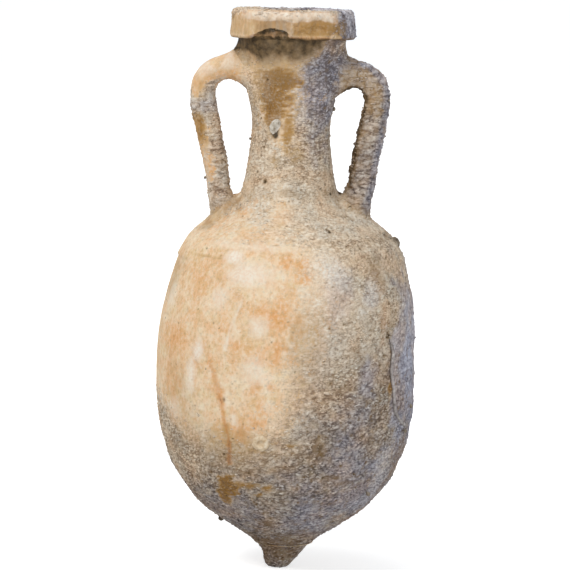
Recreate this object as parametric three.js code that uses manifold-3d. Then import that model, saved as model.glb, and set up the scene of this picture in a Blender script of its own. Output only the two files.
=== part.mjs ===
// A sealed-cargo jar of the ancient Mediterranean: a two-handled transport amphora with a peg toe.
// The potter threw it in sections, luted them together wet with lapped joints, added a collar round
// the mouth, a solid toe and two handles, and lined the inside with pitch. It then lay on a sea bed,
// so that shellfish and worms grew on it and the collar lost some chips.
// Millimetres, +Z up. The origin is the middle of the small flat under the toe.
import * as THREE from "three";
import { mergeVertices } from "three/addons/utils/BufferGeometryUtils.js";
import Module from "manifold-3d";

const wasm = await Module();
wasm.setup();

// Driving dimensions
const HEIGHT = 800;
const BELLY_RADIUS = 183.5;
const COLLAR_RADIUS = 88; // at its lower edge; it draws in a little towards the top
const COLLAR_HEIGHT = 40;
const MOUTH_RADIUS = 62;
const NECK_RADIUS = 55.5;
const TOE_HEIGHT = 38;
const TOE_TENON = 12; // height of the cone on top of the toe that keys it into the floor
const TOE_FLAT_RADIUS = 9.5;

// Where one thrown section meets the next, as heights on the outside
const BELLY_JOINT = 272;
const SHOULDER_JOINT = 479;
const NECK_JOINT = 540;
const COLLAR_JOINT = HEIGHT - COLLAR_HEIGHT;
const COLLAR_SEAT = COLLAR_JOINT + 14; // height at which the neck ends inside the collar
const THROAT_TOP = COLLAR_JOINT - 3; // height at which the neck's inner face turns out to that end

const LAP = 14; // how far each joint climbs from the outside of the wall to the inside
const GAP = 0.45; // slip-filled space left in a joint, measured up the wall
const LEDGE = 1.5; // how far each joint goes straight in before it climbs, clear of the crust
const REST_GAP = 0.5; // space between the wall and what is stuck on it
const PITCH = 1.8; // thickness of the lining
const PITCH_GAP = 0.5; // from the wall to the lining
const AROUND = 48; // faces round the jar

const CLAY = { color: 0xd3b48f, roughness: 0.9, metalness: 0 };
const CRUSTED_CLAY = { color: 0xa99a86, roughness: 0.95, metalness: 0 };
const PITCH_LOOK = { color: 0x2a211a, roughness: 0.55, metalness: 0 };
const SHELL = { color: 0xc9c4b8, roughness: 0.85, metalness: 0 };

// Outside of the jar from the toe joint to the collar, as [radius, height]
const OUTSIDE = [
  [43, TOE_HEIGHT], [50, 43.5], [57, 50], [69.5, 59], [88.5, 73], [112, 91], [132.5, 111],
  [149, 133], [162, 157.5], [171.7, 184], [178.6, 212], [182.2, 241], [BELLY_RADIUS, BELLY_JOINT],
  [BELLY_RADIUS, 306], [182, 340], [178.5, 373], [173, 404], [166, 431], [159, 452],
  [152.5, 466], [143.5, SHOULDER_JOINT], [126, 492], [101, 508.5], [81, 524], [70, NECK_JOINT],
  [65.2, 557], [60.8, 582], [57, 614], [NECK_RADIUS, 648], [57, 680], [61.5, 706],
  [68.5, 730], [74.5, 748], [76.5, COLLAR_JOINT],
];

// Outside of the toe, and of the collar, as [radius, height]
const TOE_SIDE = [
  [TOE_FLAT_RADIUS, 0], [15, 1.6], [19.5, 5], [23, 10], [26.3, 16], [29.6, 22], [33.5, 28], [38.2, 34],
];
const COLLAR_SIDE = [
  [COLLAR_RADIUS - 1.5, COLLAR_JOINT], [COLLAR_RADIUS, COLLAR_JOINT + 3.5],
  [COLLAR_RADIUS - 0.4, COLLAR_JOINT + 10], [COLLAR_RADIUS - 1.6, COLLAR_JOINT + 20],
  [COLLAR_RADIUS - 2.4, HEIGHT - 8], [COLLAR_RADIUS - 4.5, HEIGHT - 2], [COLLAR_RADIUS - 7.5, HEIGHT],
];

// The jar isn't plumb: how far its middle line stands to the right, as [height, shift]
const LEAN = [
  [0, -3.5], [6, -3], [12, -1], [20, 1.5], [30, 3.2], [45, 4], [60, 4], [100, 3], [180, 3], [240, 1.2],
  [300, 0], [350, 1], [400, 3.8], [440, 5], [479, 4.6], [510, 2.6], [540, 0.8], [620, 0.8], [HEIGHT, 0.4],
];

// The crust that grew on the body in the sea: its thickness, how far its lumps rise and fall, how
// softly it ends, and up to which height it covers the wall, as [turn from the front, height]
const CRUST = 1.6;
const CRUST_LUMP = 1.2;
const CRUST_FADE = 30;
const CRUST_EDGE = [
  [-180, 330], [-140, 300], [-120, 262], [-80, 256], [-61, 222], [-39, 188], [-20, 188], [-4, 204],
  [3, 264], [8, 372], [11, 500], [60, 560], [120, 540], [150, 470], [180, 330],
];
const CRUST_FOOT = [46, 76]; // it thins out over this stretch of height, above the toe
const CRUST_HEAD = [484, 516]; // and over this one, on the shoulder

// Wall thickness at a height, as [height, thickness]
const THICKNESS = [[TOE_HEIGHT, 17], [110, 13.5], [290, 11.5], [560, 11], [680, 10.5], [HEIGHT, 14.5]];

// Floor over the toe, inside the jar, as [radius, height]
const FLOOR = [[0, 63], [24, 64.5], [44, 70]];

// A handle from the neck down to the shoulder, seen from the front: its outer edge, its inner edge
// and its half width across, as [outer reach, outer height, inner reach, inner height, half width]
const LEFT_HANDLE = [
  [58, 754, 48, 652, 33], [71, 749, 55.5, 670, 29.5], [80.5, 744, 60, 681.5, 26.5],
  [89.5, 738.5, 67.5, 690.5, 24.5], [100, 734, 77, 697, 23], [112, 729.5, 88, 700, 22],
  [124, 722, 98.5, 697.5, 21.5], [134, 711.5, 105.5, 691, 21.5], [140.5, 699, 108, 683, 21.5],
  [142.8, 684, 108, 673.5, 21.5], [142, 667, 106, 661, 21.5], [138.5, 648, 101.5, 641.5, 21.5],
  [129.5, 609, 94, 603.5, 21.5], [121.5, 575, 88, 570.5, 21.5], [116.4, 548, 85.3, 548, 22.5],
  [114.2, 528, 81, 539, 24], [113.2, 514, 74, 527, 26.5], [115, 504, 73, 508, 29.5],
  [120.5, 495.5, 76, 492, 32.5], [129, 487, 82, 479, 35.5], [138, 474, 92, 464, 37],
];
const RIGHT_HANDLE = [
  [58, 752, 48, 644, 33], [68, 747, 55.5, 661, 29.5], [75, 739.5, 59.5, 672.5, 26.5],
  [83, 733.5, 64.5, 680.5, 24.5], [94, 729.5, 73, 687.5, 23], [106, 726, 84.5, 693, 22.5],
  [118.5, 719, 95.5, 691.5, 22], [129, 709.5, 101.5, 685, 22], [135.3, 697, 103.5, 676.5, 22],
  [138.3, 681, 103, 667, 22], [138, 663, 100.5, 654.5, 22], [134.5, 641, 96.5, 635.5, 22],
  [130.3, 614, 91, 609, 22], [124.8, 588, 88, 584, 22], [121.4, 562, 84.5, 560, 22.5],
  [118, 541, 80.5, 548, 24], [114.2, 525, 74, 536, 26.5], [113, 512, 72, 517, 29.5],
  [117, 502, 74, 500, 32.5], [125, 494, 79, 486, 35.5], [134, 484, 86, 472, 37.5],
  [141, 472, 94, 462, 38],
];
const HANDLE_SIDES = 16;
const HANDLE_RINGS = 2; // rings to each stretch between stations

// Chips out of the collar: turn from the front (degrees, + to the right), height and reach of the
// middle, and half sizes along the rim, across the wall and up
const CHIPS = [
  { turn: -19, height: 757, reach: 90, half: [32, 13, 20] },
  { turn: 9, height: 774, reach: 97, half: [22, 14, 24] },
  { turn: 23, height: 777, reach: 97, half: [24, 14, 22] },
  { turn: 44, height: 756, reach: 90, half: [18, 13, 16] },
  { turn: 118, height: 757, reach: 91, half: [24, 12, 13] },
  { turn: 196, height: 800, reach: 90, half: [30, 11, 9] },
  { turn: 258, height: 758, reach: 92, half: [18, 12, 12] },
];

/** Turns [a, b] pairs into 2-D points. */
const points = (pairs) => pairs.map(([a, b]) => new THREE.Vector2(a, b));

/** A dense line through [radius, height] stations, rounded between them by a spline. */
const smooth = (pairs, steps) => new THREE.SplineCurve(points(pairs)).getPoints(steps);

/** Linear reading of [key, value] pairs at x. */
function read(pairs, x) {
  const next = pairs.findIndex(([key]) => key > x);
  if (next === 0) return pairs[0][1];
  if (next < 0) return pairs[pairs.length - 1][1];
  const [k0, v0] = pairs[next - 1];
  const [k1, v1] = pairs[next];
  return THREE.MathUtils.mapLinear(x, k0, k1, v0, v1);
}

/** A line moved inwards, towards the axis, by the distance that depth gives at each height. */
function inset(line, depth) {
  return line.map((p, i) => {
    const before = line[Math.max(i - 1, 0)];
    const after = line[Math.min(i + 1, line.length - 1)];
    const along = after.clone().sub(before).normalize();
    return new THREE.Vector2(p.x - along.y * depth(p.y), p.y + along.x * depth(p.y));
  });
}

/** The point of a rising line at a height. */
function atHeight(line, z) {
  const above = line.findIndex((p) => p.y >= z);
  const i = above < 0 ? line.length - 1 : Math.max(above, 1);
  const t = (z - line[i - 1].y) / (line[i].y - line[i - 1].y);
  return line[i - 1].clone().lerp(line[i], t);
}

/** The stretch of a rising line between two heights, as rows + 1 points evenly spaced along it. */
function stretch(line, from, to, rows) {
  const inner = line.filter((p) => p.y > from && p.y < to);
  const run = [atHeight(line, from), ...inner, atHeight(line, to)];
  const lengths = run.map((p, i) => (i ? p.distanceTo(run[i - 1]) : 0));
  const sums = lengths.reduce((list, d) => [...list, (list.at(-1) ?? 0) + d], []);
  return Array.from({ length: rows + 1 }, (_, k) => {
    const want = (sums.at(-1) * k) / rows;
    const i = Math.max(1, sums.findIndex((s) => s >= want - 1e-9));
    return run[i - 1].clone().lerp(run[i], (want - sums[i - 1]) / (sums[i] - sums[i - 1]));
  });
}

/** A solid turned about +Z from a profile that goes up the outside and down the inside. */
function turned(profile, around = AROUND) {
  return new THREE.LatheGeometry(profile, around).rotateX(Math.PI / 2);
}

/** A closed skin over a row of rings, with a fan over each end. */
function loft(rings) {
  const sides = rings[0].length;
  const middle = (ring) => ring.reduce((sum, p) => sum.add(p), new THREE.Vector3()).divideScalar(sides);
  const vertices = [...rings.flat(), middle(rings[0]), middle(rings.at(-1))];
  const first = vertices.length - 2;
  const faces = [];
  for (let j = 0; j < sides; j++) {
    const k = (j + 1) % sides;
    for (let i = 0; i < rings.length - 1; i++) {
      const a = i * sides;
      const b = a + sides;
      faces.push(a + j, a + k, b + k, a + j, b + k, b + j);
    }
    const end = (rings.length - 1) * sides;
    faces.push(first, k, j, first + 1, end + j, end + k);
  }
  return new THREE.BufferGeometry().setFromPoints(vertices).setIndex(faces);
}

/** A geometry as a solid that can be cut and joined. */
function solid(geometry) {
  const bare = geometry.clone();
  bare.deleteAttribute("normal");
  bare.deleteAttribute("uv");
  const merged = mergeVertices(bare, 1e-3);
  return new wasm.Manifold(
    new wasm.Mesh({
      numProp: 3,
      vertProperties: merged.attributes.position.array,
      triVerts: new Uint32Array(merged.index.array),
    }),
  );
}

/** A cut solid as a geometry again. */
function geometryOf(cut) {
  const mesh = cut.getMesh();
  const geometry = new THREE.BufferGeometry();
  geometry.setAttribute("position", new THREE.BufferAttribute(mesh.vertProperties, 3));
  geometry.setIndex(new THREE.BufferAttribute(mesh.triVerts, 1));
  geometry.computeVertexNormals();
  return geometry;
}

const outside = smooth(OUTSIDE, 640);
const { smoothstep } = THREE.MathUtils;

/** How far the crust lifts the wall at a turn from the front, in radians, and a height. Its lumps
 * are two waves, one round the jar and one up it, each bent a little by another. */
function crustAt(turn, height) {
  const edge = read(CRUST_EDGE, THREE.MathUtils.radToDeg(turn));
  const cover = smoothstep(edge - height, -CRUST_FADE, CRUST_FADE);
  const ends = smoothstep(height, ...CRUST_FOOT) * (1 - smoothstep(height, ...CRUST_HEAD));
  const round = Math.sin(8 * turn + height / 31 + 0.9 * Math.sin(5 * turn));
  const up = Math.cos(height / 11.5 + 2 * Math.sin(3 * turn));
  return cover * ends * (CRUST + CRUST_LUMP * round * up);
}

/** The way up the wall's outside at a height. */
const wayUp = (height) =>
  atHeight(outside, height + 1).sub(atHeight(outside, height - 1)).normalize();

/** The point a ledge's depth under a point of the outside. */
function ledge(point) {
  const up = wayUp(point.y);
  return new THREE.Vector2(point.x - up.y * LEDGE, point.y + up.x * LEDGE);
}

/** Lifts a turned solid's outside by the crust, straight out from the wall. */
function crusted(geometry) {
  const { position } = geometry.attributes;
  const p = new THREE.Vector3();
  for (let i = 0; i < position.count; i++) {
    p.fromBufferAttribute(position, i);
    const radius = Math.hypot(p.x, p.y);
    if (radius < atHeight(outside, p.z).x - 1) continue;
    const up = wayUp(p.z);
    const lift = crustAt(Math.atan2(p.x, -p.y), p.z);
    const grown = 1 + (up.y * lift) / radius;
    position.setXYZ(i, p.x * grown, p.y * grown, p.z - up.x * lift);
  }
  return geometry;
}
const wallInside = inset(outside, (z) => read(THICKNESS, z));
const inside = smooth(
  [...FLOOR, ...stretch(wallInside, 80, wallInside.at(-1).y, 34).map((p) => [p.x, p.y])],
  640,
);

/** Height on the inside of the wall at which a joint that starts outside at a height comes out. */
function innerHeight(joint) {
  const start = outside.findIndex((p) => p.y > joint);
  let end = start;
  while (outside[end].distanceTo(outside[start]) < LAP) end += 1;
  return wallInside[end].y;
}

// Rows of the inner face of each thrown section, bottom to top. The lining follows the same rows.
const floorHeight = FLOOR[0][1];
const innerRows = {
  lower: stretch(inside, floorHeight + 0.01, innerHeight(BELLY_JOINT), 12),
  upper: stretch(inside, innerHeight(BELLY_JOINT), innerHeight(SHOULDER_JOINT), 8),
  shoulder: stretch(inside, innerHeight(SHOULDER_JOINT), innerHeight(NECK_JOINT), 7),
  neck: stretch(inside, innerHeight(NECK_JOINT), THROAT_TOP, 9),
};

// Rows of the outer face of each, which the cutter for what is stuck on the wall follows too
const outerRows = {
  lower: stretch(outside, TOE_HEIGHT + 0.01, BELLY_JOINT - GAP / 2, 15),
  upper: stretch(outside, BELLY_JOINT + GAP / 2, SHOULDER_JOINT - GAP / 2, 12),
  shoulder: stretch(outside, SHOULDER_JOINT + GAP / 2, NECK_JOINT - GAP / 2, 8),
  neck: stretch(outside, NECK_JOINT + GAP / 2, COLLAR_JOINT - GAP, 18),
};

/** One thrown ring of wall between two joints, closed by their sloping faces. */
function wallRing(up, inner) {
  const down = inner.map((p) => p.clone()).reverse();
  down[0].y -= GAP / 2;
  down[down.length - 1].y += GAP / 2;
  return crusted(turned([...up, ledge(up.at(-1)), ...down, ledge(up[0]), up[0]]));
}

function toe() {
  const side = smooth([...TOE_SIDE, [OUTSIDE[0][0] - GAP, TOE_HEIGHT - GAP]], 12);
  const top = new THREE.Vector2(0, TOE_HEIGHT + TOE_TENON - GAP);
  return turned([new THREE.Vector2(0, 0), ...side, top]);
}

function lowerWall() {
  const down = innerRows.lower.map((p) => p.clone()).reverse();
  down[0].y -= GAP / 2;
  down[down.length - 1] = new THREE.Vector2(0, floorHeight);
  const low = new THREE.Vector2(0, TOE_HEIGHT + TOE_TENON);
  return crusted(turned([low, ...outerRows.lower, ledge(outerRows.lower.at(-1)), ...down]));
}

function neck() {
  const down = innerRows.neck.map((p) => p.clone()).reverse();
  down[down.length - 1].y += GAP / 2;
  const lip = new THREE.Vector2(MOUTH_RADIUS, COLLAR_SEAT - GAP);
  return turned([...outerRows.neck, lip, ...down, outerRows.neck[0]]);
}

function collar() {
  const foot = [OUTSIDE.at(-1)[0] + 1, COLLAR_JOINT];
  const lip = [
    [MOUTH_RADIUS + 4, HEIGHT], [MOUTH_RADIUS + 1, HEIGHT - 3], [MOUTH_RADIUS, HEIGHT - 9],
    [MOUTH_RADIUS, COLLAR_SEAT],
  ];
  const whole = solid(turned(points([foot, ...COLLAR_SIDE, ...lip, foot]), 40));
  const chips = CHIPS.map(({ turn, height, reach, half }) =>
    solid(
      new THREE.IcosahedronGeometry(1, 1)
        .scale(half[0], half[1], half[2])
        .translate(0, -reach, height)
        .rotateZ(THREE.MathUtils.degToRad(turn)),
    ),
  );
  return geometryOf(chips.reduce((left, chip) => left.subtract(chip), whole));
}

function pitchLining() {
  const { lower, upper, shoulder, neck: throat } = innerRows;
  const wall = [...lower, ...upper.slice(1), ...shoulder.slice(1), ...throat.slice(1)];
  const skin = inset(wall, () => PITCH_GAP);
  const face = inset(wall, () => PITCH_GAP + PITCH).reverse();
  skin[0].x = 0;
  face[face.length - 1].x = 0;
  return turned([...skin, ...face]);
}

/** Everything inside the jar's outer face, plus a gap: what a piece stuck on the wall is cut by. */
function wallCutter() {
  const { lower, upper, shoulder, neck: throat } = outerRows;
  const side = inset([...lower, ...upper.slice(1), ...shoulder.slice(1), ...throat.slice(1)], () => -REST_GAP);
  const low = new THREE.Vector2(0, side[0].y);
  const high = new THREE.Vector2(0, side.at(-1).y);
  return solid(crusted(turned([low, ...side, high])));
}

const cutter = wallCutter();

/** A rolled handle through its stations, on the side that side (-1 or 1) gives. */
function handle(side, stations) {
  const edge = (column) =>
    new THREE.CatmullRomCurve3(
      stations.map((row) => new THREE.Vector3(side * row[column], 0, row[column + 1])),
    );
  const outer = edge(0);
  const inner = edge(2);
  const width = new THREE.SplineCurve(stations.map((row, i) => new THREE.Vector2(i, row[4])));
  const last = (stations.length - 1) * HANDLE_RINGS;
  const rings = Array.from({ length: last + 1 }, (_, i) => {
    const middle = outer.getPoint(i / last).add(inner.getPoint(i / last)).divideScalar(2);
    const depth = outer.getPoint(i / last).sub(middle);
    const across = new THREE.Vector3(0, -side * width.getPoint(i / last).y, 0);
    return Array.from({ length: HANDLE_SIDES }, (__, k) => {
      const turn = (2 * Math.PI * k) / HANDLE_SIDES;
      return middle
        .clone()
        .addScaledVector(depth, Math.cos(turn))
        .addScaledVector(across, Math.sin(turn));
    });
  });
  return geometryOf(solid(loft(rings)).subtract(cutter));
}

/** A lump on the wall at a turn from the front and a height, kept outside the wall. */
function growth(shape, turn, height) {
  const angle = THREE.MathUtils.degToRad(turn);
  const reach = atHeight(outside, height).x + crustAt(angle, height);
  const placed = shape.translate(0, -reach, height).rotateZ(angle);
  return geometryOf(solid(placed).subtract(cutter));
}

/** A rounded lump with half sizes along the wall, out of it and up, tipped sideways by an angle. */
const lump = (along, out, up, tip) =>
  new THREE.IcosahedronGeometry(1, 1).scale(along, out, up).rotateY(tip);

/** A cone of shell plates with its mouth outwards. */
function barnacle(foot, mouth, tall) {
  const pit = [0, tall * 0.3];
  const profile = [[0, -tall], [foot, -tall], [foot, 0], [mouth, tall], [mouth * 0.55, tall], pit];
  return new THREE.LatheGeometry(points(profile), 14).rotateX(Math.PI);
}

/** A worm's tube that follows the wall: [turn, height] stations a little way out from it. */
function wormTube(stations, radius) {
  const path = stations.map(([turn, height]) => {
    const angle = THREE.MathUtils.degToRad(turn);
    const reach = atHeight(outside, height).x + crustAt(angle, height) + radius * 0.7;
    return new THREE.Vector3(reach * Math.sin(angle), -reach * Math.cos(angle), height);
  });
  const circle = new THREE.Shape().absarc(0, 0, radius, 0, 2 * Math.PI);
  const tube = new THREE.ExtrudeGeometry(circle, {
    curveSegments: 4,
    steps: 18,
    extrudePath: new THREE.CatmullRomCurve3(path),
  });
  return geometryOf(solid(tube).subtract(cutter));
}

// Where the worm's tube runs on the flank, as [turn, height]
const WORM_PATH = [
  [52.5, 350], [54, 330], [53, 306], [55, 282], [56, 262], [57.5, 246], [63, 230], [71, 220],
];

const jar = new THREE.Group();
const middleLine = new THREE.SplineCurve(points(LEAN)).getPoints(200).map((p) => [p.x, p.y]);

/** Adds a named piece to the jar, shifted sideways at each height as the middle line is. */
function add(name, geometry, look) {
  const { position } = geometry.attributes;
  for (let i = 0; i < position.count; i++) {
    position.setX(i, position.getX(i) + read(middleLine, position.getZ(i)));
  }
  const mesh = new THREE.Mesh(geometry, new THREE.MeshStandardMaterial(look));
  mesh.name = name;
  jar.add(mesh);
}

add("toe", toe(), CRUSTED_CLAY);
add("lower_wall", lowerWall(), CRUSTED_CLAY);
add("upper_wall", wallRing(outerRows.upper, innerRows.upper), CLAY);
add("shoulder", wallRing(outerRows.shoulder, innerRows.shoulder), CLAY);
add("neck", neck(), CLAY);
add("rim_collar", collar(), CLAY);
add("left_handle", handle(-1, LEFT_HANDLE), CLAY);
add("right_handle", handle(1, RIGHT_HANDLE), CRUSTED_CLAY);
add("pitch_lining", pitchLining(), PITCH_LOOK);
add("neck_shell", growth(lump(6.5, 8, 11, 0.5), -23, 638), SHELL);
add("belly_barnacle", growth(barnacle(12, 7, 5), -10.6, 211), SHELL);
add("flank_worm_tube", wormTube(WORM_PATH, 2.6), SHELL);
add("shoulder_shell", growth(lump(9, 9, 7, 0.3), 86, 473), SHELL);
add("lower_wall_pebble", growth(lump(6, 6, 5, 0), -75, 77), SHELL);

export default jar;
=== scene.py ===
# %% [markdown]
# # A transport amphora that lay in the sea
# The jar was thrown in sections from buff clay, luted together, given a collar, a peg toe and two
# rolled handles, and lined with pitch. Then it lay half buried on a sea bed: one side kept its
# cream and orange clay, and the rest grew a grey crust of lime grains, worm tubes and barnacles.
# The frame holds the jar's solids at their real size. Each cell below makes one skin or finish
# that goes over them, so the frame is loaded first and never changed.

# %% The fixed frame
import math

import bpy
import numpy as np
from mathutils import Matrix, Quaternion, Vector


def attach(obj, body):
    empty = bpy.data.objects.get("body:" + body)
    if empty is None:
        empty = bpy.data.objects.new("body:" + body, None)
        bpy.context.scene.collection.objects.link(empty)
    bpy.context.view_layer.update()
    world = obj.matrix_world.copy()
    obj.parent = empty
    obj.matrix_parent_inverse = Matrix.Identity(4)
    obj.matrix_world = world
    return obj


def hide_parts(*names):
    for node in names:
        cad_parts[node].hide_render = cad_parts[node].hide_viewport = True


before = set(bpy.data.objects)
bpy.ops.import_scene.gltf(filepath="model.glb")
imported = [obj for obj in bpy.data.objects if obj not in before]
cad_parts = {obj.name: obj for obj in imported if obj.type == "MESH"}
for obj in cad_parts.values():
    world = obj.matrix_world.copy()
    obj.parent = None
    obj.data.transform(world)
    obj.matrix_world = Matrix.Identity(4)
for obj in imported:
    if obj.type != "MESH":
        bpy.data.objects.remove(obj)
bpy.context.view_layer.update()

MM = 0.001

# %% [markdown]
# ## The camera
# The jar was photographed from four metres with a long lens, a little above its middle, and it
# leans to the right in the picture. A turn of the camera about its own line of sight gives that
# lean, which is easier to check than a turned jar. The camera comes first, because it tells how
# small a detail can be and still be seen: one millimetre is two thirds of a pixel.

# %% Camera
CAMERA_PLACE = Vector((0, -4.0, 0.905))
CAMERA_AIM = Vector((-0.0023, 0, 0.4087))
CAMERA_LENS = 178.5
CAMERA_ROLL = math.radians(1.34)

camera = bpy.data.objects.new("camera", bpy.data.cameras.new("camera"))
bpy.context.scene.collection.objects.link(camera)
camera.location = CAMERA_PLACE
view = CAMERA_AIM - CAMERA_PLACE
look = view.to_track_quat("-Z", "Y")
camera.rotation_euler = (look @ Quaternion((0, 0, 1), CAMERA_ROLL)).to_euler()
camera.data.lens = CAMERA_LENS
bpy.context.scene.camera = camera
bpy.context.scene.view_settings.view_transform = "Standard"
print("camera looks", round(math.degrees(math.atan2(-view.z, view.y)), 2), "degrees down")

# %% [markdown]
# ## The jar's outline
# A thrown jar is a line turned about an axis, so everything starts with that line, measured as
# radius and height in millimetres. A spline needs only the points where the curve changes, and
# it gives back as many points as a fine mesh wants. The middle line of this jar isn't plumb: the
# wet clay sagged a few millimetres, and the second line says how far.

# %% Outline and middle line
HEIGHT = 800
BELLY_RADIUS = 183.5
TOE_JOINT, BELLY_JOINT, SHOULDER_JOINT, NECK_JOINT, COLLAR_JOINT = 38, 272, 479, 540, 760

TOE_SIDE = [
    (9.5, 0), (15, 1.6), (19.5, 5), (23, 10), (26.3, 16), (29.6, 22), (33.5, 28), (38.2, 34),
]
WALL_SIDE = [
    (43, TOE_JOINT), (50, 43.5), (57, 50), (69.5, 59), (88.5, 73), (112, 91), (132.5, 111),
    (149, 133), (162, 157.5), (171.7, 184), (178.6, 212), (182.2, 241), (BELLY_RADIUS, BELLY_JOINT),
    (BELLY_RADIUS, 306), (182, 340), (178.5, 373), (173, 404), (166, 431), (159, 452),
    (152.5, 466), (143.5, SHOULDER_JOINT), (126, 492), (101, 508.5), (81, 524), (70, NECK_JOINT),
    (65.2, 557), (60.8, 582), (57, 614), (55.5, 648), (57, 680), (61.5, 706), (68.5, 730),
    (74.5, 748), (76.5, COLLAR_JOINT),
]
LEAN = [
    (0, -3.5), (6, -3), (12, -1), (20, 1.5), (30, 3.2), (45, 4), (60, 4), (100, 3), (180, 3),
    (240, 1.2), (300, 0), (350, 1), (400, 3.8), (440, 5), (479, 4.6), (510, 2.6), (540, 0.8),
    (620, 0.8), (HEIGHT, 0.4),
]


def spline(points, count):
    """A smooth line through points. Between b and c, with a before and d after them and t from
    0 to 1: 0.5 (2b + (c - a) t + (2a - 5b + 4c - d) tt + (3b - a - 3c + d) ttt)."""
    points = np.asarray(points, float)
    ends = np.vstack([points[:1], points, points[-1:]])
    place = np.linspace(0, len(points) - 1, count)
    i = np.minimum(place.astype(int), len(points) - 2)
    t = (place - i)[:, None]
    a, b, c, d = ends[i], ends[i + 1], ends[i + 2], ends[i + 3]
    bend = (2 * a - 5 * b + 4 * c - d) * t**2 + (3 * b - a - 3 * c + d) * t**3
    return 0.5 * (2 * b + (c - a) * t + bend)


def along(line):
    """Distance run along a line up to each of its points."""
    return np.concatenate([[0], np.cumsum(np.linalg.norm(np.diff(line, axis=0), axis=1))])


def even(line, step):
    """The line again, with points evenly spaced along it, about step apart."""
    run = along(line)
    place = np.linspace(0, run[-1], max(2, round(run[-1] / step)) + 1)
    return np.stack([np.interp(place, run, column) for column in line.T], axis=1)


outline = spline(TOE_SIDE + WALL_SIDE, 6000)
outline_run = along(outline)
rise = np.gradient(outline, outline_run, axis=0)
outward = np.stack([rise[:, 1], -rise[:, 0]], axis=1)
lean_line = spline(LEAN, 400)


def above_wall(points):
    """Signed distance from the wall's outside and the outward direction there, from the nearest
    of some points of the outline."""
    line, out = outline[::8], outward[::8]
    radius = np.hypot(points[:, 0], points[:, 1])
    flat = np.stack([radius, points[:, 2]], axis=-1)
    gap = np.empty(len(points))
    way = np.empty((len(points), 2))
    for chunk in np.array_split(np.arange(len(points)), len(points) // 4000 + 1):
        apart = flat[chunk, None] - line
        near = (apart**2).sum(-1).argmin(-1)
        way[chunk] = out[near]
        gap[chunk] = (apart[np.arange(len(chunk)), near] * out[near]).sum(-1)
    unit = points[:, :2] / radius[:, None]
    return gap, np.concatenate([unit * way[:, :1], way[:, 1:]], axis=-1)


print("outline is", round(outline_run[-1]), "mm long")

# %% [markdown]
# ## Noise
# Weathered clay has unevenness of every size. Lattice noise gives soft clouds, and several
# octaves of it give ragged edges. Cell noise gives separate dots, which become pits and grains.
# Both read a place in space, not a place on a grid, so two pieces that meet share one pattern.

# %% Noise helpers
LATTICE = 41


def noise(place, size, seed):
    """Soft noise from -1 to 1. Random numbers sit on the corners of a lattice of cubes, size mm
    wide, and between them each axis blends by t * t * (3 - 2t)."""
    table = np.random.default_rng(seed).uniform(-1, 1, (LATTICE,) * 3)
    cube = place / size + 7.3 * seed
    low = np.floor(cube).astype(int)
    t = cube - low
    t = t * t * (3 - 2 * t)
    value = np.zeros(place.shape[:-1])
    for corner in np.ndindex(2, 2, 2):
        spot = (low + corner) % LATTICE
        share = np.prod(np.where(corner, t, 1 - t), axis=-1)
        value += share * table[spot[..., 0], spot[..., 1], spot[..., 2]]
    return value


def rough(place, size, seed, octaves=4):
    """Octaves of noise, each half as wide and 0.55 as strong as the one before."""
    layers = [0.55**k * noise(place, size / 2**k, seed + k) for k in range(octaves)]
    return np.sum(layers, axis=0)


def cells(place, size, seed):
    """Cell noise. Every cube of a lattice holds one point: this gives the distance to the
    nearest one, in cube widths, and a random number that belongs to that point."""
    table = np.random.default_rng(seed).uniform(0, 1, (LATTICE, LATTICE, LATTICE, 4))
    cube = place / size + 3.1 * seed
    low = np.floor(cube).astype(int)
    nearest = np.full(place.shape[:-1], 9.0)
    owner = np.zeros(place.shape[:-1])
    for step in np.ndindex(3, 3, 3):
        spot = low + step - 1
        key = spot % LATTICE
        found = table[key[..., 0], key[..., 1], key[..., 2]]
        gap = np.linalg.norm(cube - spot - found[..., :3], axis=-1)
        owner = np.where(gap < nearest, found[..., 3], owner)
        nearest = np.minimum(gap, nearest)
    return nearest, owner


def ease(value, low, high):
    """0 at low, 1 at high and an s-curve between; low may be the larger number."""
    t = np.clip((value - low) / (high - low), 0, 1)
    return t * t * (3 - 2 * t)


def band(value, start, full, end, none):
    """Rises from 0 at start to 1 at full, and falls from 1 at end to 0 at none."""
    return ease(value, start, full) * ease(value, none, end)


def looked_up(value, table):
    """What a table of (value, result) gives for a value, by straight lines between its rows."""
    return np.interp(value, *np.array(table).T)


def clipped(layers):
    return {name: np.clip(layer, 0, 1) for name, layer in layers.items()}


sample = np.random.default_rng(1).uniform(-200, 200, (2000, 3))
print("noise spreads", round(float(rough(sample, 30, 1).std()), 2))
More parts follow.
